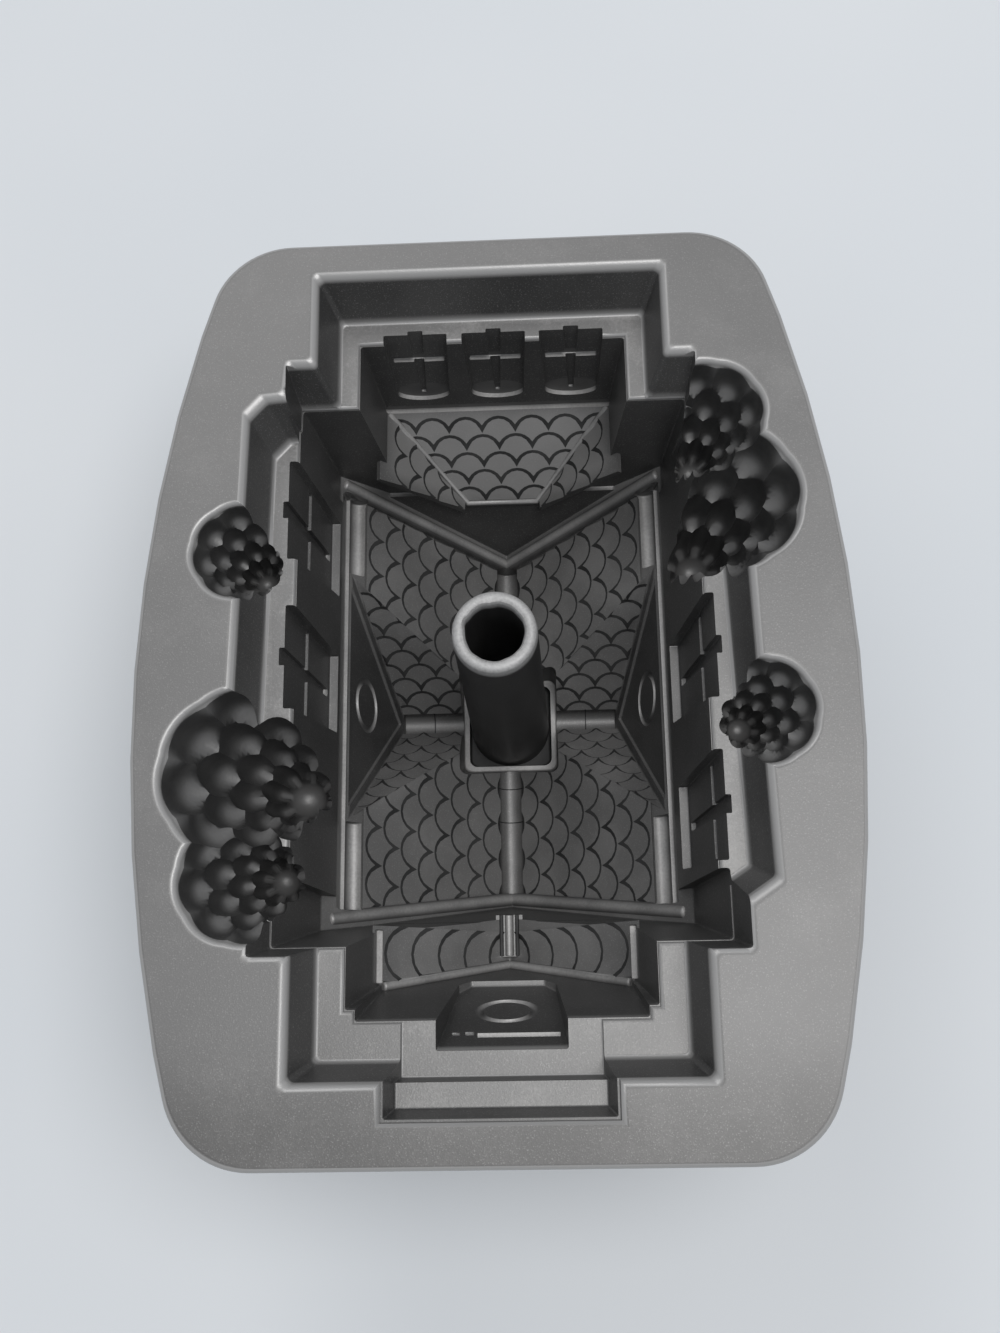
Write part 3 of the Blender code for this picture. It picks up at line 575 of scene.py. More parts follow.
def block_list():
    """(name, planes, top, lip sides, planes that end the lip, rounding) for each block cut from the casting."""
    mouth, eave = lid(ABOVE), lid(EAVE)
    rows = [
        ("house", HOUSE, mouth, [(0, side, side * SIDE_TOP[side]) for side in (1, -1)],
         [upright(1, 1, HOUSE_REAR), upright(1, -1, HOUSE_FRONT)], 1.0),
        ("gable_rear", GABLE_REAR, mouth, both(63.3) + [(1, 1, 94), (1, -1, 81)], [], 0.9),
        ("rake_rear", RAKE_REAR, eave, [], [], 0.5),
        ("gable_front", GABLE_FRONT, mouth, both(68.9) + [(1, -1, -81.8)], [upright(1, 1, -65.5)], 0.9),
        ("rake_front", RAKE_FRONT, eave, [], [], 0.5),
        ("bay", BAY, mouth, both(44.4) + [(1, 1, BAY_FACE)], [upright(1, -1, 81)], 0.8),
        ("porch", PORCH, mouth, both(46.4) + [(1, -1, -100.2)], [upright(1, 1, -66)], 0.7),
        ("porch_face", PORCH_FACE, mouth, both(43.4) + [(1, -1, -103.6)], [upright(1, 1, -76)], 0.7),
    ]
    for side in (-1, 1):
        rows.append(("cross", cross_gable(side), eave, [], [], 0.7))
        rows.append(("gable_mouth", gable_mouth(side), mouth, [], [], 0.5))
    return rows


def treads():
    """The door step's two treads, as rows of the same kind."""
    mouth = lid(ABOVE)
    upper = (walls(0, 32.4, 0, 29.4, 21.2)
             + [floor(21.2), upright(1, 1, -100), wall(1, -1, -122.2, 0, -119.2, 21.2)])
    lower = walls(0, 33, 0, 30.2, 12) + [floor(12), upright(1, 1, -112), wall(1, -1, -130.8, 0, -127.6, 12)]
    return [("step_upper", upper, mouth, [], [], 0.5),
            ("step_lower", lower, mouth, both(33) + [(1, -1, -130.8)], [upright(1, 1, -118)], 0.5)]


def panel(side, y, depth_a, depth_b, half_a, half_b, relief):
    """A shallow pocket in the leaning side wall between two depths."""
    lean = (SIDE_TOP[side] - EAVE_HALF) / (EAVE - LEDGE)

    def out(depth):
        return side * (SIDE_TOP[side] - lean * (depth - LEDGE) + relief)
    return (walls(1, half_a, depth_a, half_b, depth_b, y)
            + [wall(0, side, out(depth_a), depth_a, out(depth_b), depth_b), floor(depth_b),
               upright(0, -side, side * 52), lid(depth_a)])


def window_panel(side, y, foot):
    return panel(side, y, POCKET_TOP, foot, 17.2, 13.8, SIDE_RELIEF)


def bay_panel(x, depth_a, depth_b, half_a, half_b, relief, relief_foot=None):
    """A pocket in the bay's wall; its relief may change towards its foot."""
    foot = relief if relief_foot is None else relief_foot

    def out(depth, relief):
        return BAY_FACE - BAY_LEAN * (depth - LEDGE) + relief
    return (walls(0, half_a, depth_a, half_b, depth_b, x)
            + [wall(1, 1, out(depth_a, relief), depth_a, out(depth_b, foot), depth_b),
               floor(depth_b), upright(1, -1, 104), lid(depth_a)])


def bay_window_panel(x, foot):
    return bay_panel(x, POCKET_TOP, foot, 10.8, 9.25, BAY_RELIEF, BAY_FOOT_RELIEF)


def door_panel(x, depth_a, depth_b, half, relief):
    """A pocket in the leaning door."""
    def out(depth):
        return DOOR_FACE + DOOR_LEAN * (depth - LEDGE) - relief
    return [upright(0, 1, x + half), upright(0, -1, x - half), floor(depth_b), lid(depth_a),
            wall(1, -1, out(depth_a), depth_a, out(depth_b), depth_b), upright(1, 1, -88)]


def round_bar(name, start, end, radius, sides, rounded_ends=0.0):
    """A round bar from point to point, with rounded ends where asked."""
    along = end - start
    deselect()
    bpy.ops.mesh.primitive_cylinder_add(vertices=sides, radius=radius * MM, depth=along.length,
                                        location=(start + end) / 2,
                                        rotation=along.to_track_quat("Z", "Y").to_euler())
    piece = placed(name)
    if rounded_ends:
        edit(piece)
        bpy.ops.mesh.select_mode(type="EDGE")
        bpy.ops.mesh.select_all(action="DESELECT")
        shape = bmesh.from_edit_mesh(piece.data)
        for edge in shape.edges:
            edge.select = any(len(f.verts) > 4 for f in edge.link_faces)
        bmesh.update_edit_mesh(piece.data)
        bpy.ops.mesh.bevel(offset=rounded_ends * MM, segments=4, affect="EDGES")
        leave_edit()
    return piece


def ring(name, centre, normal, major, minor):
    """A round ring pressed into a wall."""
    deselect()
    bpy.ops.mesh.primitive_torus_add(location=centre, rotation=normal.to_track_quat("Z", "Y").to_euler(),
                                     major_radius=major * MM, minor_radius=minor * MM, major_segments=48,
                                     minor_segments=10)
    return placed(name)


def arch(name, x, depth, half, rise, planes):
    """The rounded foot of a bay window, trimmed to the wall's pocket."""
    deselect()
    bpy.ops.mesh.primitive_cylinder_add(vertices=40, radius=1, depth=40 * MM, location=at(x, 112, depth),
                                        rotation=(math.pi / 2, 0, 0), scale=(half * MM, rise * MM, 1))
    return trim(placed(name), planes)


# Fish-scale rows on the roofs

def scale_row(name, width, pitch, count, step):
    """One row of the mould: a plate bitten by round scales along its far edge, thicker towards it.

    The bitten edge slopes down to the next row, and takes the crease's coat."""
    width, pitch, step = width * MM, pitch * MM, step * MM
    fall, arc_steps, seat = 1.7 * MM, 8, -1.7 * MM
    reach = pitch + width / 2
    rise = step * reach / pitch
    big, small = width / 2 + 0.6 * fall, width / 2 - 0.4 * fall
    start = math.acos(width / 2 / big)
    ends = [Vector((-count * width / 2, 0)), Vector((count * width / 2, 0))]
    brim, foot = list(ends), list(ends)
    for i in reversed(range(count)):
        centre = (i - (count - 1) / 2) * width
        for k in range(arc_steps + (i == 0)):
            turn = start + (math.pi - 2 * start) * k / arc_steps
            brim.append(Vector((centre + big * math.cos(turn), reach - big * math.sin(turn))))
            turn = math.pi * k / arc_steps
            radius = width / 2 if k in (0, arc_steps) else small
            foot.append(Vector((centre + radius * math.cos(turn), reach - small * math.sin(turn))))
    piece = extrude_levels(name, [
        [(spot.x, spot.y, rise * spot.y / reach) for spot in brim],
        [(spot.x, spot.y, rise * spot.y / reach - (step + 0.1 * MM)) for spot in foot],
        [(spot.x, spot.y, seat) for spot in foot]])
    dress(piece, COATS)
    # The bitten edge's faces take the crease coat: painted shade
    for face in piece.data.polygons:
        if face.normal.y > 0.12 and 0.1 < face.normal.z < 0.98:
            face.material_index = CREASE
    return piece


def scale_rows(name, eave, ridge, along, width, pitch, first, rows, count, step, planes, shift=0.5):
    """Rows of scales from the eave point towards the ridge point; even and odd rows as two pieces."""
    up = (ridge - eave).normalized()
    out = along.cross(up)
    if out.z < 0:
        out.negate()
    across = up.cross(out)
    model = scale_row(name, width, pitch, count, step)
    parts = ([], [])
    for k in range(rows):
        row = model.copy()
        row.data = model.data.copy()
        bpy.context.collection.objects.link(row)
        row.matrix_world = Matrix((across, up, out)).transposed().to_4x4()
        row.matrix_world.translation = (eave + up * ((first + (k - 1) * pitch) * MM)
                                        + along * (width * shift * (k % 2) * MM))
        finish_place(row)
        trim(row, planes)
        if row.data.polygons:
            parts[k % 2].append(row)
        else:
            drop(row)
    drop(model)
    made = []
    for group in parts:
        if not group:
            continue
        deselect()
        for row in group:
            row.select_set(True)
        bpy.context.view_layer.objects.active = group[0]
        if len(group) > 1:
            bpy.ops.object.join()
        made.append(bpy.context.object)
    return made


def valley(side, way):
    """The upright plane through the valley between the main roof and a cross gable's slope."""
    return tilted((0, CROSS_Y), (side * EAVE_HALF, CROSS_Y + way * CROSS_HALF), side * way)


def main_roof_scales(side, way, phase):
    """The main roof's scales on one side, behind (way 1) or in front of the cross gables."""
    width, pitch = 13.6, 7.7
    close = slope(1, 1, 87.5, 73.3) if way > 0 else slope(1, -1, -65.5, -54.2)
    planes = [valley(side, way), close, upright(0, side, side * 50.2), upright(0, -side, side)]
    start = phase + way * 6.8 - way * width
    return scale_rows("roof_scales", at(side * EAVE_HALF, start, EAVE), at(0, start, RIDGE), Vector((0, 1, 0)),
                      width, pitch, 9.6, 9, 8, 0.95, planes)


def cross_roof_scales(side, way):
    """The cross gable's scales on one side, on its rear (way 1) or front slope."""
    width, pitch, start = 12.2, 6.4, side * 39.4
    normal, point = valley(side, way)
    planes = [(-normal, point), slope(0, side, side * 54.1, side * 39.9), upright(1, -way, CROSS_Y + way)]
    return scale_rows("gable_scales", at(start, CROSS_Y + way * CROSS_HALF, EAVE), at(start, CROSS_Y, RIDGE),
                      Vector((1, 0, 0)), width, pitch, 9.2, 10, 7, 0.9, planes)


def bay_roof_scales():
    width, pitch, first, rows = 12.1, 7.1, 3.6, 6
    hips = [tilted((side * BAY_HALF, BAY_EAVE_Y), (side * BAY_END_HALF, BAY_END_Y), -side) for side in (-1, 1)]
    made = scale_rows("bay_scales", at(0, BAY_EAVE_Y, BAY_EAVE), at(0, BAY_END_Y, BAY_END), Vector((1, 0, 0)),
                      width, pitch, first, rows, 9, 0.95, hips + [upright(1, -1, 89.2)])
    for side, (normal, point) in zip((-1, 1), hips):
        made += scale_rows("bay_hip_scales", at(side * BAY_HALF, 104, BAY_EAVE),
                           at(side * BAY_END_HALF, 104, BAY_END), Vector((0, 1, 0)), width, pitch, first, rows, 5,
                           0.9, [(-normal, point), upright(1, -1, 85.5)])
    return made


def porch_roof_scales(side):
    y = -80.6
    planes = [wall(1, -1, -92.4, PORCH_EAVE, -83.4, PORCH_RIDGE), upright(0, -side, side),
              upright(0, side, side * 43.2)]
    return scale_rows("porch_scales", at(side * 41.5, y, PORCH_EAVE), at(0, y, PORCH_RIDGE), Vector((0, 1, 0)),
                      17.6, 10.4, 2.6, 5, 1, 1.0, planes, shift=0.0)


def all_scales():
    made = []
    for side in (-1, 1):
        for way, phase in ((1, 66.0), (-1, -41.5)):
            made += main_roof_scales(side, way, phase) + cross_roof_scales(side, way)
    return made + bay_roof_scales() + porch_roof_scales(-1) + porch_roof_scales(1)


def raised_bars():
    """Trim that stands proud of the mould's faces: (name, start, end, radius, sides, round of the ends)."""
    pairs = (("rake_rear", (57.9, 89.9, 72.6), (0, 76.2, 127.6), 2.4, 24, 1.3),
             ("rake_front", (60.2, -68.3, 70.8), (0, -56.4, 127.8), 2.5, 24, 1.4),
             ("porch_rake", (40.2, -91.2, 61.0), (0, -82.8, 92.4), 1.7, 16, 0.8),
             ("bay_hip", (39.6, 112.4, 61.6), (13, 88.7, 91.4), 1.2, 12, 0))
    bars = []
    for side in (-1, 1):
        for name, start, end, radius, sides, ends in pairs:
            bars.append(round_bar(name, at(side * start[0], *start[1:]), at(side * end[0], *end[1:]), radius, sides,
                                  ends))
    bars.append(round_bar("bay_foot", at(-13.4, 88.7, 91.4), at(13.4, 88.7, 91.4), 1.2, 12))
    bed = carve("porch_ridge", box(1, 4.6, -4.6, -66, -80.2, 95, 90.3), 0)
    return [faced(bar, TRIM) for bar in bars] + [bed]


def ridge_cuts():
    """Round grooves along the ridges, and the thin joints across them."""
    depth, joint_half = 129.3, 0.2
    cuts = []
    for start, end in (((0, -54.5), (0, -2)), ((0, 26), (0, 74.5)), ((-41.3, CROSS_Y), (-16, CROSS_Y)),
                       ((16, CROSS_Y), (41.3, CROSS_Y))):
        cuts.append(round_bar("ridge", at(*start, depth), at(*end, depth), 4.7, 32, 0.5))
    # The joints take the crease coat: painted shade
    for x, y in ((0, -13.5), (0, -26.5), (-29.5, CROSS_Y), (29.5, CROSS_Y), (0, 40)):
        half_x, half_y = (joint_half, 0) if x else (0, joint_half)
        cuts.append(faced(round_bar("joint", at(x - half_x, y - half_y, depth), at(x + half_x, y + half_y, depth),
                                    5.0, 32), CREASE))
    return cuts


def eave_cuts(side):
    """Eave beads and line, the cross gable's inset face and its round window, on one side."""
    cuts = []
    for start, end in ((57.4, 86.2), (-64.6, -33.8)):
        cuts.append(faced(round_bar("eave_bead", at(side * 52.7, start, 80.0), at(side * 52.7, end, 80.0), 3.6, 24,
                                    0.7), TRIM))
    cuts.append(strip("eave_line", box(side, 57.4, 50, 86, -64.5, 78.2, 70), TRIM))
    inset = [slope(1, way, CROSS_Y + way * 41.5, CROSS_Y - way * 4.2) for way in (-1, 1)]
    cuts.append(carve("gable_face", inset + [slope(0, side, side * 56.1, side * 41.9), lid(EAVE + 1.2),
                                             upright(0, -side, side * 39)], 0.4))
    spot = at(side * (55 - GABLE_LEAN * 18 + 1.1), CROSS_Y, 96)
    cuts.append(faced(ring("round_window", spot, Vector((side, 0, -GABLE_LEAN)).normalized(), 9, 1.2), TRIM))
    return cuts


def chimney_cuts():
    """The chimney's frame, the pit inside it and the tube's seat."""
    # (half width, depth, how much farther the front wall leans out)
    frame_steps = [(18.6, 106, 6.2), (18.3, 133.4, 0.3), (18.1, 134.2, 0), (17.5, 134.6, 0)]
    pit_steps = [(16.2, 130, 0), (15.9, 136.4, 0), (15.6, 137.2, 0), (15.0, 137.6, 0)]
    cuts = []
    # The frame takes the trim coat's painted light, the pit the crease coat's painted shade
    for name, coat, steps in (("chimney_frame", TRIM, frame_steps), ("chimney_pit", CREASE, pit_steps)):
        levels = []
        for half, depth, lean_out in steps:
            corners = [(a * half, CROSS_Y + b * half - (b < 0) * lean_out)
                       for a, b in ((1, 1), (-1, 1), (-1, -1), (1, -1))]
            levels.append((rounded(corners, {0, 1, 2, 3}, 3.0, 5), depth))
        cuts.append(faced(extrude_outline(name, levels), coat))
    cuts.append(round_bar("tube_seat", at(0, CROSS_Y, 150), at(0, CROSS_Y, 130), 14.4, 48))
    return cuts


def window_cuts():
    """The side windows, then the bay's windows with their arches and the bay's eave."""
    cuts = []
    for side, y, foot, rail in SIDE_WINDOWS:
        cuts += [carve("window", window_panel(side, y, foot), 0.5),
                 strip("window_post", panel(side, y, POCKET_TOP, foot - 2, 3.0, 1.4, SIDE_RELIEF + 1.7)),
                 strip("window_rail", panel(side, y, rail - 3, rail, 15.0, 14.8, SIDE_RELIEF + 1.3))]
    for x in BAY_WINDOWS:
        cuts += [carve("bay_window", bay_window_panel(x, 50.5), 0.4),
                 faced(arch("bay_arch", x, 50.5, 9.2, 3.9, bay_panel(x, 44, 60, 12, 12, 2.0, 1.3)), TRIM),
                 strip("bay_post", bay_panel(x, POCKET_TOP, 52, 2.7, 0.9, 4.6, 2.6)),
                 strip("bay_rail", bay_panel(x, 31.6, 34.5, 8.9, 8.8, 4.0), TRIM)]
    cuts.append(strip("bay_eave", box(1, 40.9, -40.9, 114.0, 112.2, 62.0, 58), TRIM))
    return cuts


def door_cuts():
    """The door, its ring, its rail and the two knots at the rail's end."""
    spot = at(0.4, DOOR_FACE + DOOR_LEAN * 31, 51)
    return [carve("door", DOOR + [lid(POCKET_TOP)], 0.6),
            faced(ring("door_ring", spot, Vector((0, -1, -DOOR_LEAN)).normalized(), 8.8, 1.35), TRIM),
            faced(carve("door_rail", door_panel(4.6, 30.6, 33.8, 12.6, 2.0), 0.4), TRIM),
            carve("door_knot", door_panel(-10.3, 32.2, 34.8, 1.6, 1.2), 0.6),
            carve("door_knot", door_panel(-14.4, 32.4, 34.4, 1.4, 1.0), 0.6)]


def porch_cuts():
    """The porch's ridge bead between two thin lines, and its eaves."""
    cuts = [faced(round_bar("porch_ridge", at(0, -80, 90.5), at(0, -65, 90.5), 1.5, 24, 0.5), TRIM)]
    # The thin lines take the crease coat: painted shade
    for x in (-2.7, 2.7):
        cuts.append(strip("porch_ridge", box(1, x + 0.7, x - 0.7, -65, -80.1, 91.6, 86), CREASE))
    for side in (-1, 1):
        cuts.append(strip("porch_eave", box(side, 42.4, 40, -73, -90.2, 60.9, 52), TRIM))
    return cuts


def grooves():
    """Round grooves, pockets and thin joints: cut last."""
    return (ridge_cuts() + eave_cuts(-1) + eave_cuts(1) + chimney_cuts() + window_cuts() + door_cuts()
            + porch_cuts())


def tree_cutter(name):
    """A tree's cutter; its walls below the round edge take the hollow's coat, with its painted light and shade."""
    tree = make_tree(name, 0, 88, 58)
    dress(tree, COATS)
    for face in tree.data.polygons:
        if face.center.z < HEIGHT - 3 * MM:
            face.material_index = HOLLOW
    return tree


def foot_blocks():
    """Flat strips under the ridges and the chimney, on which the pan stands."""
    half = 5.5
    lengthwise = [upright(0, 1, half), upright(0, -1, -half), upright(1, 1, 72), upright(1, -1, -53)]
    crosswise = [upright(1, 1, CROSS_Y + half), upright(1, -1, CROSS_Y - half), upright(0, 1, 40),
                 upright(0, -1, -40)]
    chimney = (walls(0, 20.4, 100, 20.2, 141)
               + [upright(1, 1, CROSS_Y + 20.4), wall(1, -1, CROSS_Y - 27.4, 106, CROSS_Y - 20.2, 141)])
    stand = (Vector((0, 0, -1)), Vector((0, 0, 0)))
    return [carve("foot", planes + [stand, lid(105)], 1.0) for planes in (lengthwise, crosswise, chimney)]


def largest_body(piece):
    """Keep the piece's largest closed body and drop the scraps."""
    edit(piece)
    bpy.ops.mesh.separate(type="LOOSE")
    leave_edit()
    bodies = sorted(bpy.context.selected_objects, key=lambda item: len(item.data.vertices))
    kept = bodies.pop()
    for scrap in bodies:
        drop(scrap)
    return kept


def make_casting():
    casting = make_flange()
    dress(casting, COATS)
    cutters = [make_ground(0)]
    boolean(casting, make_ground(WALL), "UNION")
    for name, planes, top, sides, extra, rounding in block_list() + treads():
        shell_top = lid(max((HEIGHT - top[1].z) / MM, 1.6))
        boolean(casting, carve(name, grown(planes, WALL) + [shell_top], 1.6), "UNION")
        cutters.append(carve(name, planes + [top], rounding))
        if sides:
            mouth_lip = name == "step_lower"
            cutters += lip(name, sides, 0 if mouth_lip else LEDGE, FLANGE_LIP if mouth_lip else LEDGE_LIP, extra)
    shells = [("window", grown(window_panel(side, y, foot), WALL)) for side, y, foot, rail in SIDE_WINDOWS]
    shells += [("bay_window", grown(bay_window_panel(x, 53), WALL)) for x in BAY_WINDOWS]
    shells.append(("door", grown(DOOR, WALL) + [lid(POCKET_TOP)]))
    for name, planes in shells:
        boolean(casting, carve(name, planes, 1.2), "UNION")
    for name in TREES:
        boolean(casting, make_tree(name, WALL, 40, 26), "UNION")
        cutters.append(tree_cutter(name))
    for tool in foot_blocks():
        boolean(casting, tool, "UNION")
    for tool in cutters:
        boolean(casting, tool, "DIFFERENCE")
    for tool in all_scales() + raised_bars():
        boolean(casting, tool, "UNION")
    for tool in grooves():
        boolean(casting, tool, "DIFFERENCE")
    return largest_body(casting)


# Coats: shader arithmetic in plain expressions

class Value:
    """A shader value; arithmetic on it adds Math nodes."""

    def __init__(self, coat, socket):
        self.coat = coat
        self.socket = socket

    def math(self, operation, first, second):
        return self.coat.add("ShaderNodeMath", {"operation": operation}, {0: first, 1: second})

    def __add__(self, other):
        return self.math("ADD", self, other)

    def __sub__(self, other):
        return self.math("SUBTRACT", self, other)

    def __mul__(self, other):
        return self.math("MULTIPLY", self, other)

    def __truediv__(self, other):
        return self.math("DIVIDE", self, other)

    def __rsub__(self, other):
        return self.math("SUBTRACT", other, self)

    __radd__ = __add__
    __rmul__ = __mul__

    def clip(self, low, high):
        """0 below low, 1 above high, and smooth between."""
        return self.coat.add("ShaderNodeMapRange", {"interpolation_type": "SMOOTHSTEP"}, {0: self, 1: low, 2: high})


class Coat:
    """One material, built node by node."""

    def __init__(self, name):
        self.material = bpy.data.materials.new(name)
        self.material.use_nodes = True
        self.tree = self.material.node_tree
        self.shader = self.tree.nodes["Principled BSDF"]
        self.place = self.add("ShaderNodeTexCoord", {}, {}, "Object")

    def add(self, kind, settings, sockets, output=0):
        node = self.tree.nodes.new(kind)
        for key, value in settings.items():
            setattr(node, key, value)
        for key, value in sockets.items():
            self.feed(node.inputs[key], value)
        return Value(self, node.outputs[output])

    def feed(self, socket, value):
        if isinstance(value, Value):
            self.tree.links.new(value.socket, socket)
        else:
            socket.default_value = value

    def noise(self, scale, detail, roughness=0.55):
        return self.add("ShaderNodeTexNoise", {}, {"Vector": self.place, "Scale": scale, "Detail": detail,
                                                   "Roughness": roughness}, "Fac")

    def blend(self, share, colour_a, colour_b):
        return self.add("ShaderNodeMix", {"data_type": "RGBA"}, {0: share, 6: colour_a, 7: colour_b}, 2)

    def clouded(self, cloud, dark, pale):
        """Soft patches between two colours."""
        return self.blend(cloud.clip(0.3, 0.7), dark, pale)

    def axis(self, index):
        return self.add("ShaderNodeSeparateXYZ", {}, {0: self.place}, index)

    def depth(self):
        """Depth below the flange's top, in millimetres."""
        return (HEIGHT - self.axis(2)) / MM

    def facing_up(self):
        """1 where the surface is level, 0 where it is upright."""
        normal = self.add("ShaderNodeTexCoord", {}, {}, "Normal")
        return self.add("ShaderNodeSeparateXYZ", {}, {0: normal}, 2)

    def finish(self, colour, roughness, metallic, grain, grain_height, strength):
        """Feed the shader, the grain as a fine relief, and return the material."""
        relief = self.add("ShaderNodeBump", {}, {"Height": grain, "Distance": grain_height, "Strength": strength})
        self.feed(self.shader.inputs["Base Color"], colour)
        self.feed(self.shader.inputs["Roughness"], roughness)
        self.shader.inputs["Metallic"].default_value = metallic
        self.feed(self.shader.inputs["Normal"], relief)
        return self.material


def grey(level, warm=0.0):
    """A grey, a little towards brown where warm is above 0."""
    return (level * (1 + warm), level, level * (1 - warm), 1)


def coat_casting():
    """The dark satin coating, with painted light: paler where it faces up, on the flange's top, the ledges and the
    roofs, painted highlight along the rounded edges, painted shade on the flange's front, and scratched with
    painted sheen on the ledges and the flange.
    """
    coat = Coat("coated_casting")
    cloud = coat.noise(22, 4)
    fine = coat.noise(900, 2)
    speck = coat.noise(2200, 1)
    smear = coat.noise(48, 5, 0.65)
    depth = coat.depth()
    along = coat.axis(1) / MM
    up = coat.facing_up()
    level = up.clip(0.9, 0.995)
    round_over = up.clip(0.12, 0.4) * (1 - up.clip(0.93, 0.995))
    lips = round_over * (1 - depth.clip(2.2, 3.2))
    ledge_edge = round_over * depth.clip(17, 19.5) * (1 - depth.clip(22.5, 25))
    top = (1 - depth.clip(1.0, 3.0)) * level
    ledge = level * depth.clip(8, 11) * (1 - depth.clip(23, 26))
    roofs = up.clip(0.45, 0.7) * depth.clip(58, 66)
    bay_roof = roofs * along.clip(85, 92)
    flange_front_painted_shade = top * (1 - along.clip(-138, -104))
    scuff_and_sheen = (smear * 0.8 + fine * 0.3).clip(0.5, 0.82) * (ledge * 0.8 + top * 0.2)
    roof_patches = (smear * 0.6 + cloud * 0.5).clip(0.5, 0.68) * roofs
    colour = coat.clouded(cloud, grey(0.064, 0.01), grey(0.098, 0.015))
    # Painted light: paler where the surface faces up
    colour = coat.blend(up.clip(0.2, 0.85) * 0.5, colour, grey(0.19, 0.015))
    # Painted light on the flange's top and on the ledges
    colour = coat.blend(top * 0.5 + ledge * 0.6, colour, grey(0.235, 0.02))
    # Painted light on the roofs, in part as paler patches
    colour = coat.blend(roofs * 0.3 + roof_patches * 0.35, colour, grey(0.25, 0.02))
    # Painted light: the bay's roof paler still
    colour = coat.blend(bay_roof * 0.5, colour, grey(0.36, 0.02))
    # Painted shade: the flange's front darker
    colour = coat.blend(flange_front_painted_shade * 0.7, colour, grey(0.1, 0.03))
    colour = coat.blend(speck.clip(0.56, 0.76) * 0.35, colour, grey(0.36, 0.02))
    # Scratches on the ledges and the flange: paler as wear and as painted sheen
    colour = coat.blend(scuff_and_sheen * 0.6, colour, grey(0.45, 0.025))
    # Painted highlight along the rounded mouth and ledge edges
    colour = coat.blend(lips * 0.75 + ledge_edge * 0.7, colour, grey(0.46, 0.015))
    roughness = 0.36 + cloud * 0.14 + scuff_and_sheen * 0.12 + top * 0.04 - lips * 0.05
    return coat.finish(colour, roughness, 0.4, fine * 0.5 + speck * 0.5, 0.0001, 0.6)


def coat_hollow():
    """The trees' scales, a darker copy of the coating as painted shade: painted light in each scale's hollow where
    it faces up, and painted shade on its steep sides.
    """
    coat = Coat("coated_hollow")
    cloud = coat.noise(90, 4)
    # Painted light where the tree's faces turn up; the darker colours are painted shade
    pale = coat.facing_up().clip(0.3, 0.8) * (0.75 + cloud * 0.3)
    colour = coat.blend(pale, coat.clouded(cloud, grey(0.05, 0.01), grey(0.075, 0.015)), grey(0.15, 0.015))
    return coat.finish(colour, 0.36 + cloud * 0.16, 0.4, coat.noise(900, 2), 0.0001, 0.5)


def coat_crease():
    """Painted shade in the narrow creases of the ornament."""
    coat = Coat("coated_crease")
    cloud = coat.noise(80, 3)
    colour = coat.clouded(cloud, grey(0.022), grey(0.042, 0.01))
    return coat.finish(colour, 0.5 + cloud * 0.15, 0.3, coat.noise(1100, 2), 0.00008, 0.5)


def coat_trim():
    """Beads, bars and rings: a paler copy of the coating as painted light, with painted highlight where they face
    up, and worn lighter in patches there, where a cake and a cloth touch them most.
    """
    coat = Coat("coated_trim")
    cloud = coat.noise(60, 4)
    fine = coat.noise(1100, 2)
    up = coat.facing_up()
    worn = up.clip(0.35, 0.9) * (cloud * 0.7 + fine * 0.4).clip(0.35, 0.75)
    # A paler copy of the coating: painted light
    colour = coat.clouded(cloud, grey(0.09, 0.01), grey(0.13, 0.015))
    # Painted highlight where the trim faces up, with the worn patches
    colour = coat.blend(up.clip(0.3, 0.95) * 0.55 + worn * 0.35, colour, grey(0.44, 0.02))
    return coat.finish(colour, 0.4 + cloud * 0.14, 0.35, fine, 0.00008, 0.5)


def coat_tube():
    """The tube: darker than the casting's coat as painted shade, with its lip worn pale."""
    coat = Coat("coated_tube")
    cloud = coat.noise(40, 4)
    fine = coat.noise(1100, 2)
    rim = 1 - coat.depth().clip(11.5, 14.5)
    worn = rim * (fine * 0.6 + cloud * 0.7).clip(0.35, 0.8)
    # Darker than the casting's coat: painted shade
    colour = coat.clouded(cloud, grey(0.04, 0.01), grey(0.065, 0.01))
    colour = coat.blend(rim * 0.65 + worn * 0.3, colour, grey(0.5, 0.01))
    return coat.finish(colour, 0.42 + cloud * 0.15 + rim * 0.08, 0.35, fine, 0.0001, 0.7)


def ragged_edge(turn):
    """How uneven the edge of the tube's hole is at an angle, in millimetres."""
    waves = 0.14 * math.sin(5 * turn + 0.6) * math.sin(2 * turn + 1.1) + 0.05 * math.sin(13 * turn + 2.0)
    return waves + (0.5 * math.exp(-((turn - 2.75) / 0.16) ** 2) - 0.4 * math.exp(-((turn - 1.75) / 0.2) ** 2))


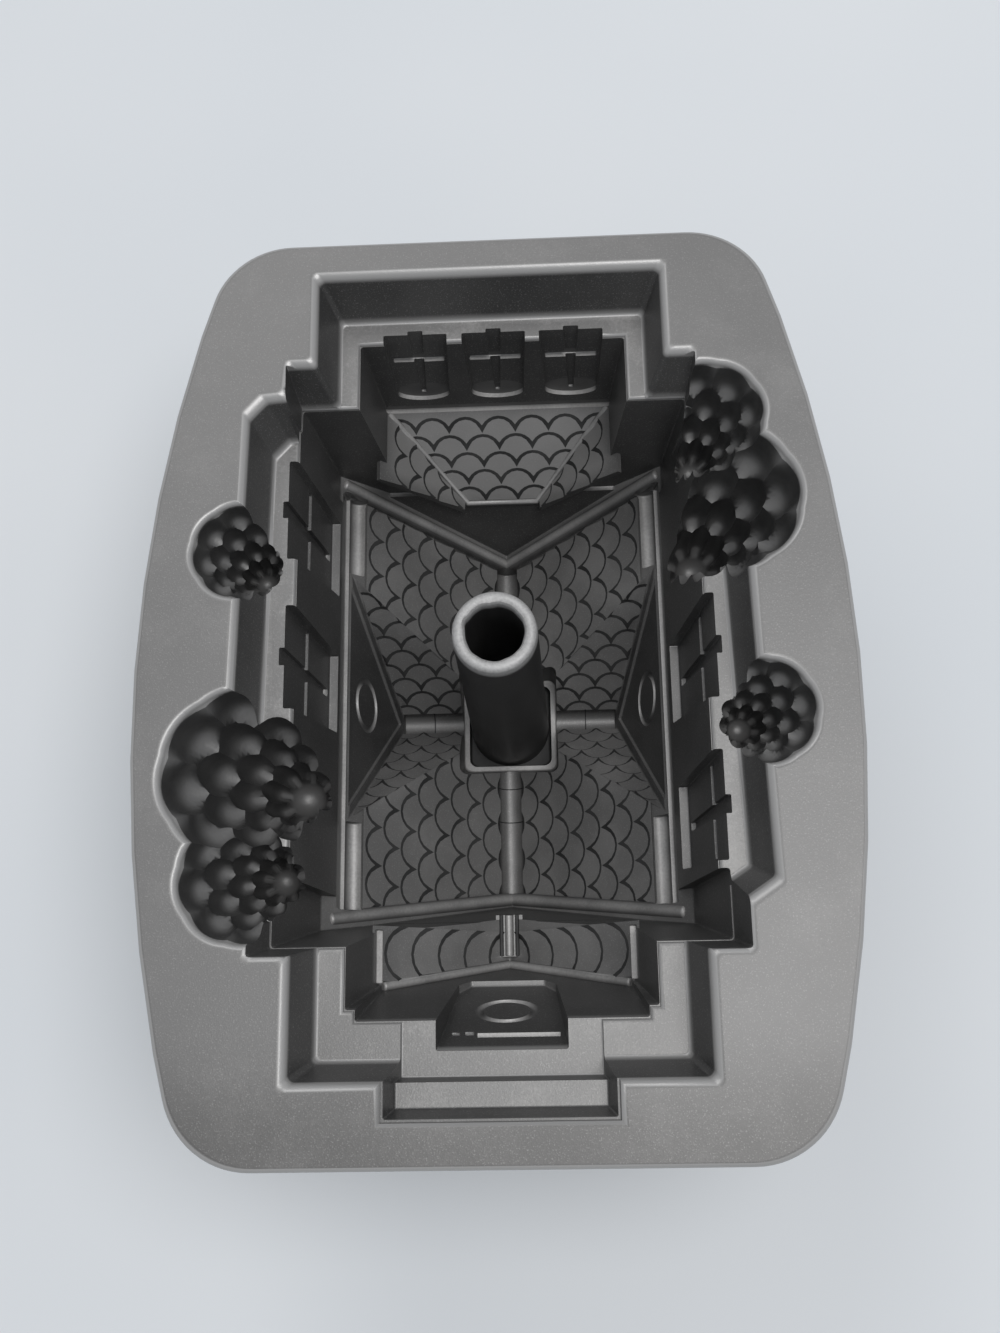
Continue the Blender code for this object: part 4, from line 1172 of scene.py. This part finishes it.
def make_tube():
    """The centre tube, spun from its wall's section, with the uneven edge of its hole."""
    inside = [(15.2, 137.9), (15.2, 141), (11.2, 141), (10.7, 110), (9.9, 60), (9.4, 14), (9.2, 10.6), (9.35, 9.6),
              (9.8, 8.95)]
    outside = [(13.4, 13), (13.75, 40), (14.4, 90), (14.95, 132)]
    lip_radius, lip_middle, lip_depth, lip_steps = 2.05, 11.25, 10.8, 6
    section = inside
    for k in range(lip_steps + 1):
        turn = math.pi * 0.72 - math.pi * 0.62 * k / lip_steps
        section.append((lip_middle + lip_radius * math.cos(turn), lip_depth - lip_radius * math.sin(turn)))
    section += outside
    deselect()
    bpy.ops.mesh.primitive_circle_add(vertices=len(section), radius=0.02, fill_type="NOTHING")
    piece = bpy.context.object
    piece.name = "centre_tube_finish"
    edit(piece)
    shape = bmesh.from_edit_mesh(piece.data)
    shape.verts.ensure_lookup_table()
    for corner, (radius, depth) in zip(shape.verts, section):
        corner.co = at(radius, CROSS_Y, depth)
    bmesh.update_edit_mesh(piece.data)
    bpy.ops.mesh.spin(steps=72, angle=math.tau, center=(0, CROSS_Y * MM, 0), axis=(0, 0, 1))
    select_all()
    bpy.ops.mesh.remove_doubles(threshold=1e-6)
    bpy.ops.mesh.normals_make_consistent(inside=False)
    shape = bmesh.from_edit_mesh(piece.data)
    for corner in shape.verts:
        depth = (HEIGHT - corner.co.z) / MM
        spot = Vector((corner.co.x, corner.co.y - CROSS_Y * MM))
        if spot.length < 10.2 * MM and depth < 16:
            scale = 1 + ragged_edge(math.atan2(spot.y, spot.x)) * MM / spot.length
            corner.co.x = spot.x * scale
            corner.co.y = spot.y * scale + CROSS_Y * MM
    bmesh.update_edit_mesh(piece.data)
    leave_edit()
    return piece


# The two finished pieces

COATS = [coat_casting(), coat_crease(), coat_trim(), coat_hollow()]
casting = make_casting()
smooth(casting, 42)
casting.name = "casting_finish"
tube = make_tube()
smooth(tube, 50)
dress(tube, [coat_tube()])
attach(casting, "root")
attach(tube, "root")
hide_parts("centre_tube")
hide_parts(*[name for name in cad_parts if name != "centre_tube"])

# Floor, light and camera
deselect()
bpy.ops.mesh.primitive_plane_add(size=8)
ground_floor = bpy.context.object
ground_floor.name = "studio_floor"
paper = Coat("pale_floor")
shade = paper.noise(3, 2).clip(0.2, 0.8)
paper.feed(paper.shader.inputs["Base Color"], paper.blend(shade, (0.70, 0.73, 0.76, 1), (0.76, 0.78, 0.80, 1)))
paper.shader.inputs["Roughness"].default_value = 0.9
dress(ground_floor, [paper.material])


def lamp(name, place, aim, size, watts):
    """A round soft lamp that points at a place."""
    data = bpy.data.lights.new(name, "AREA")
    data.shape = "DISK"
    data.size = size
    data.energy = watts
    item = bpy.data.objects.new(name, data)
    bpy.context.collection.objects.link(item)
    item.location = place
    item.rotation_euler = (Vector(aim) - Vector(place)).to_track_quat("-Z", "Y").to_euler()


lamp("overhead", (0.42, -0.1, 1.9), (0, 0, 0.1), 1.1, 17)
lamp("rear_fill", (-0.5, 1.2, 1.7), (0, 0, 0), 0.9, 6)

world = bpy.data.worlds.new("studio")
bpy.context.scene.world = world
world.use_nodes = True
sky = world.node_tree.nodes["Background"]
sky.inputs["Color"].default_value = (0.93, 0.96, 1.0, 1)
sky.inputs["Strength"].default_value = 0.46

# The photograph's view: focal length and frame height in its pixels, sensor in millimetres
FOCAL_PIXELS, FRAME_PIXELS, SENSOR = 1399.92, 1333, 36
camera_data = bpy.data.cameras.new("camera")
camera = bpy.data.objects.new("camera", camera_data)
bpy.context.collection.objects.link(camera)
camera_data.sensor_fit = "AUTO"
camera_data.sensor_width = SENSOR
camera_data.lens = FOCAL_PIXELS * SENSOR / FRAME_PIXELS
camera_data.clip_start = 0.01
camera.matrix_world = (Matrix.Translation((0.018929, -0.116257, 0.400503 + HEIGHT))
                       @ Matrix.Rotation(-0.0148, 4, "Z") @ Matrix.Rotation(0.0465, 4, "Y")
                       @ Matrix.Rotation(0.2771, 4, "X"))
bpy.context.scene.camera = camera
bpy.context.scene.view_settings.view_transform = "Standard"
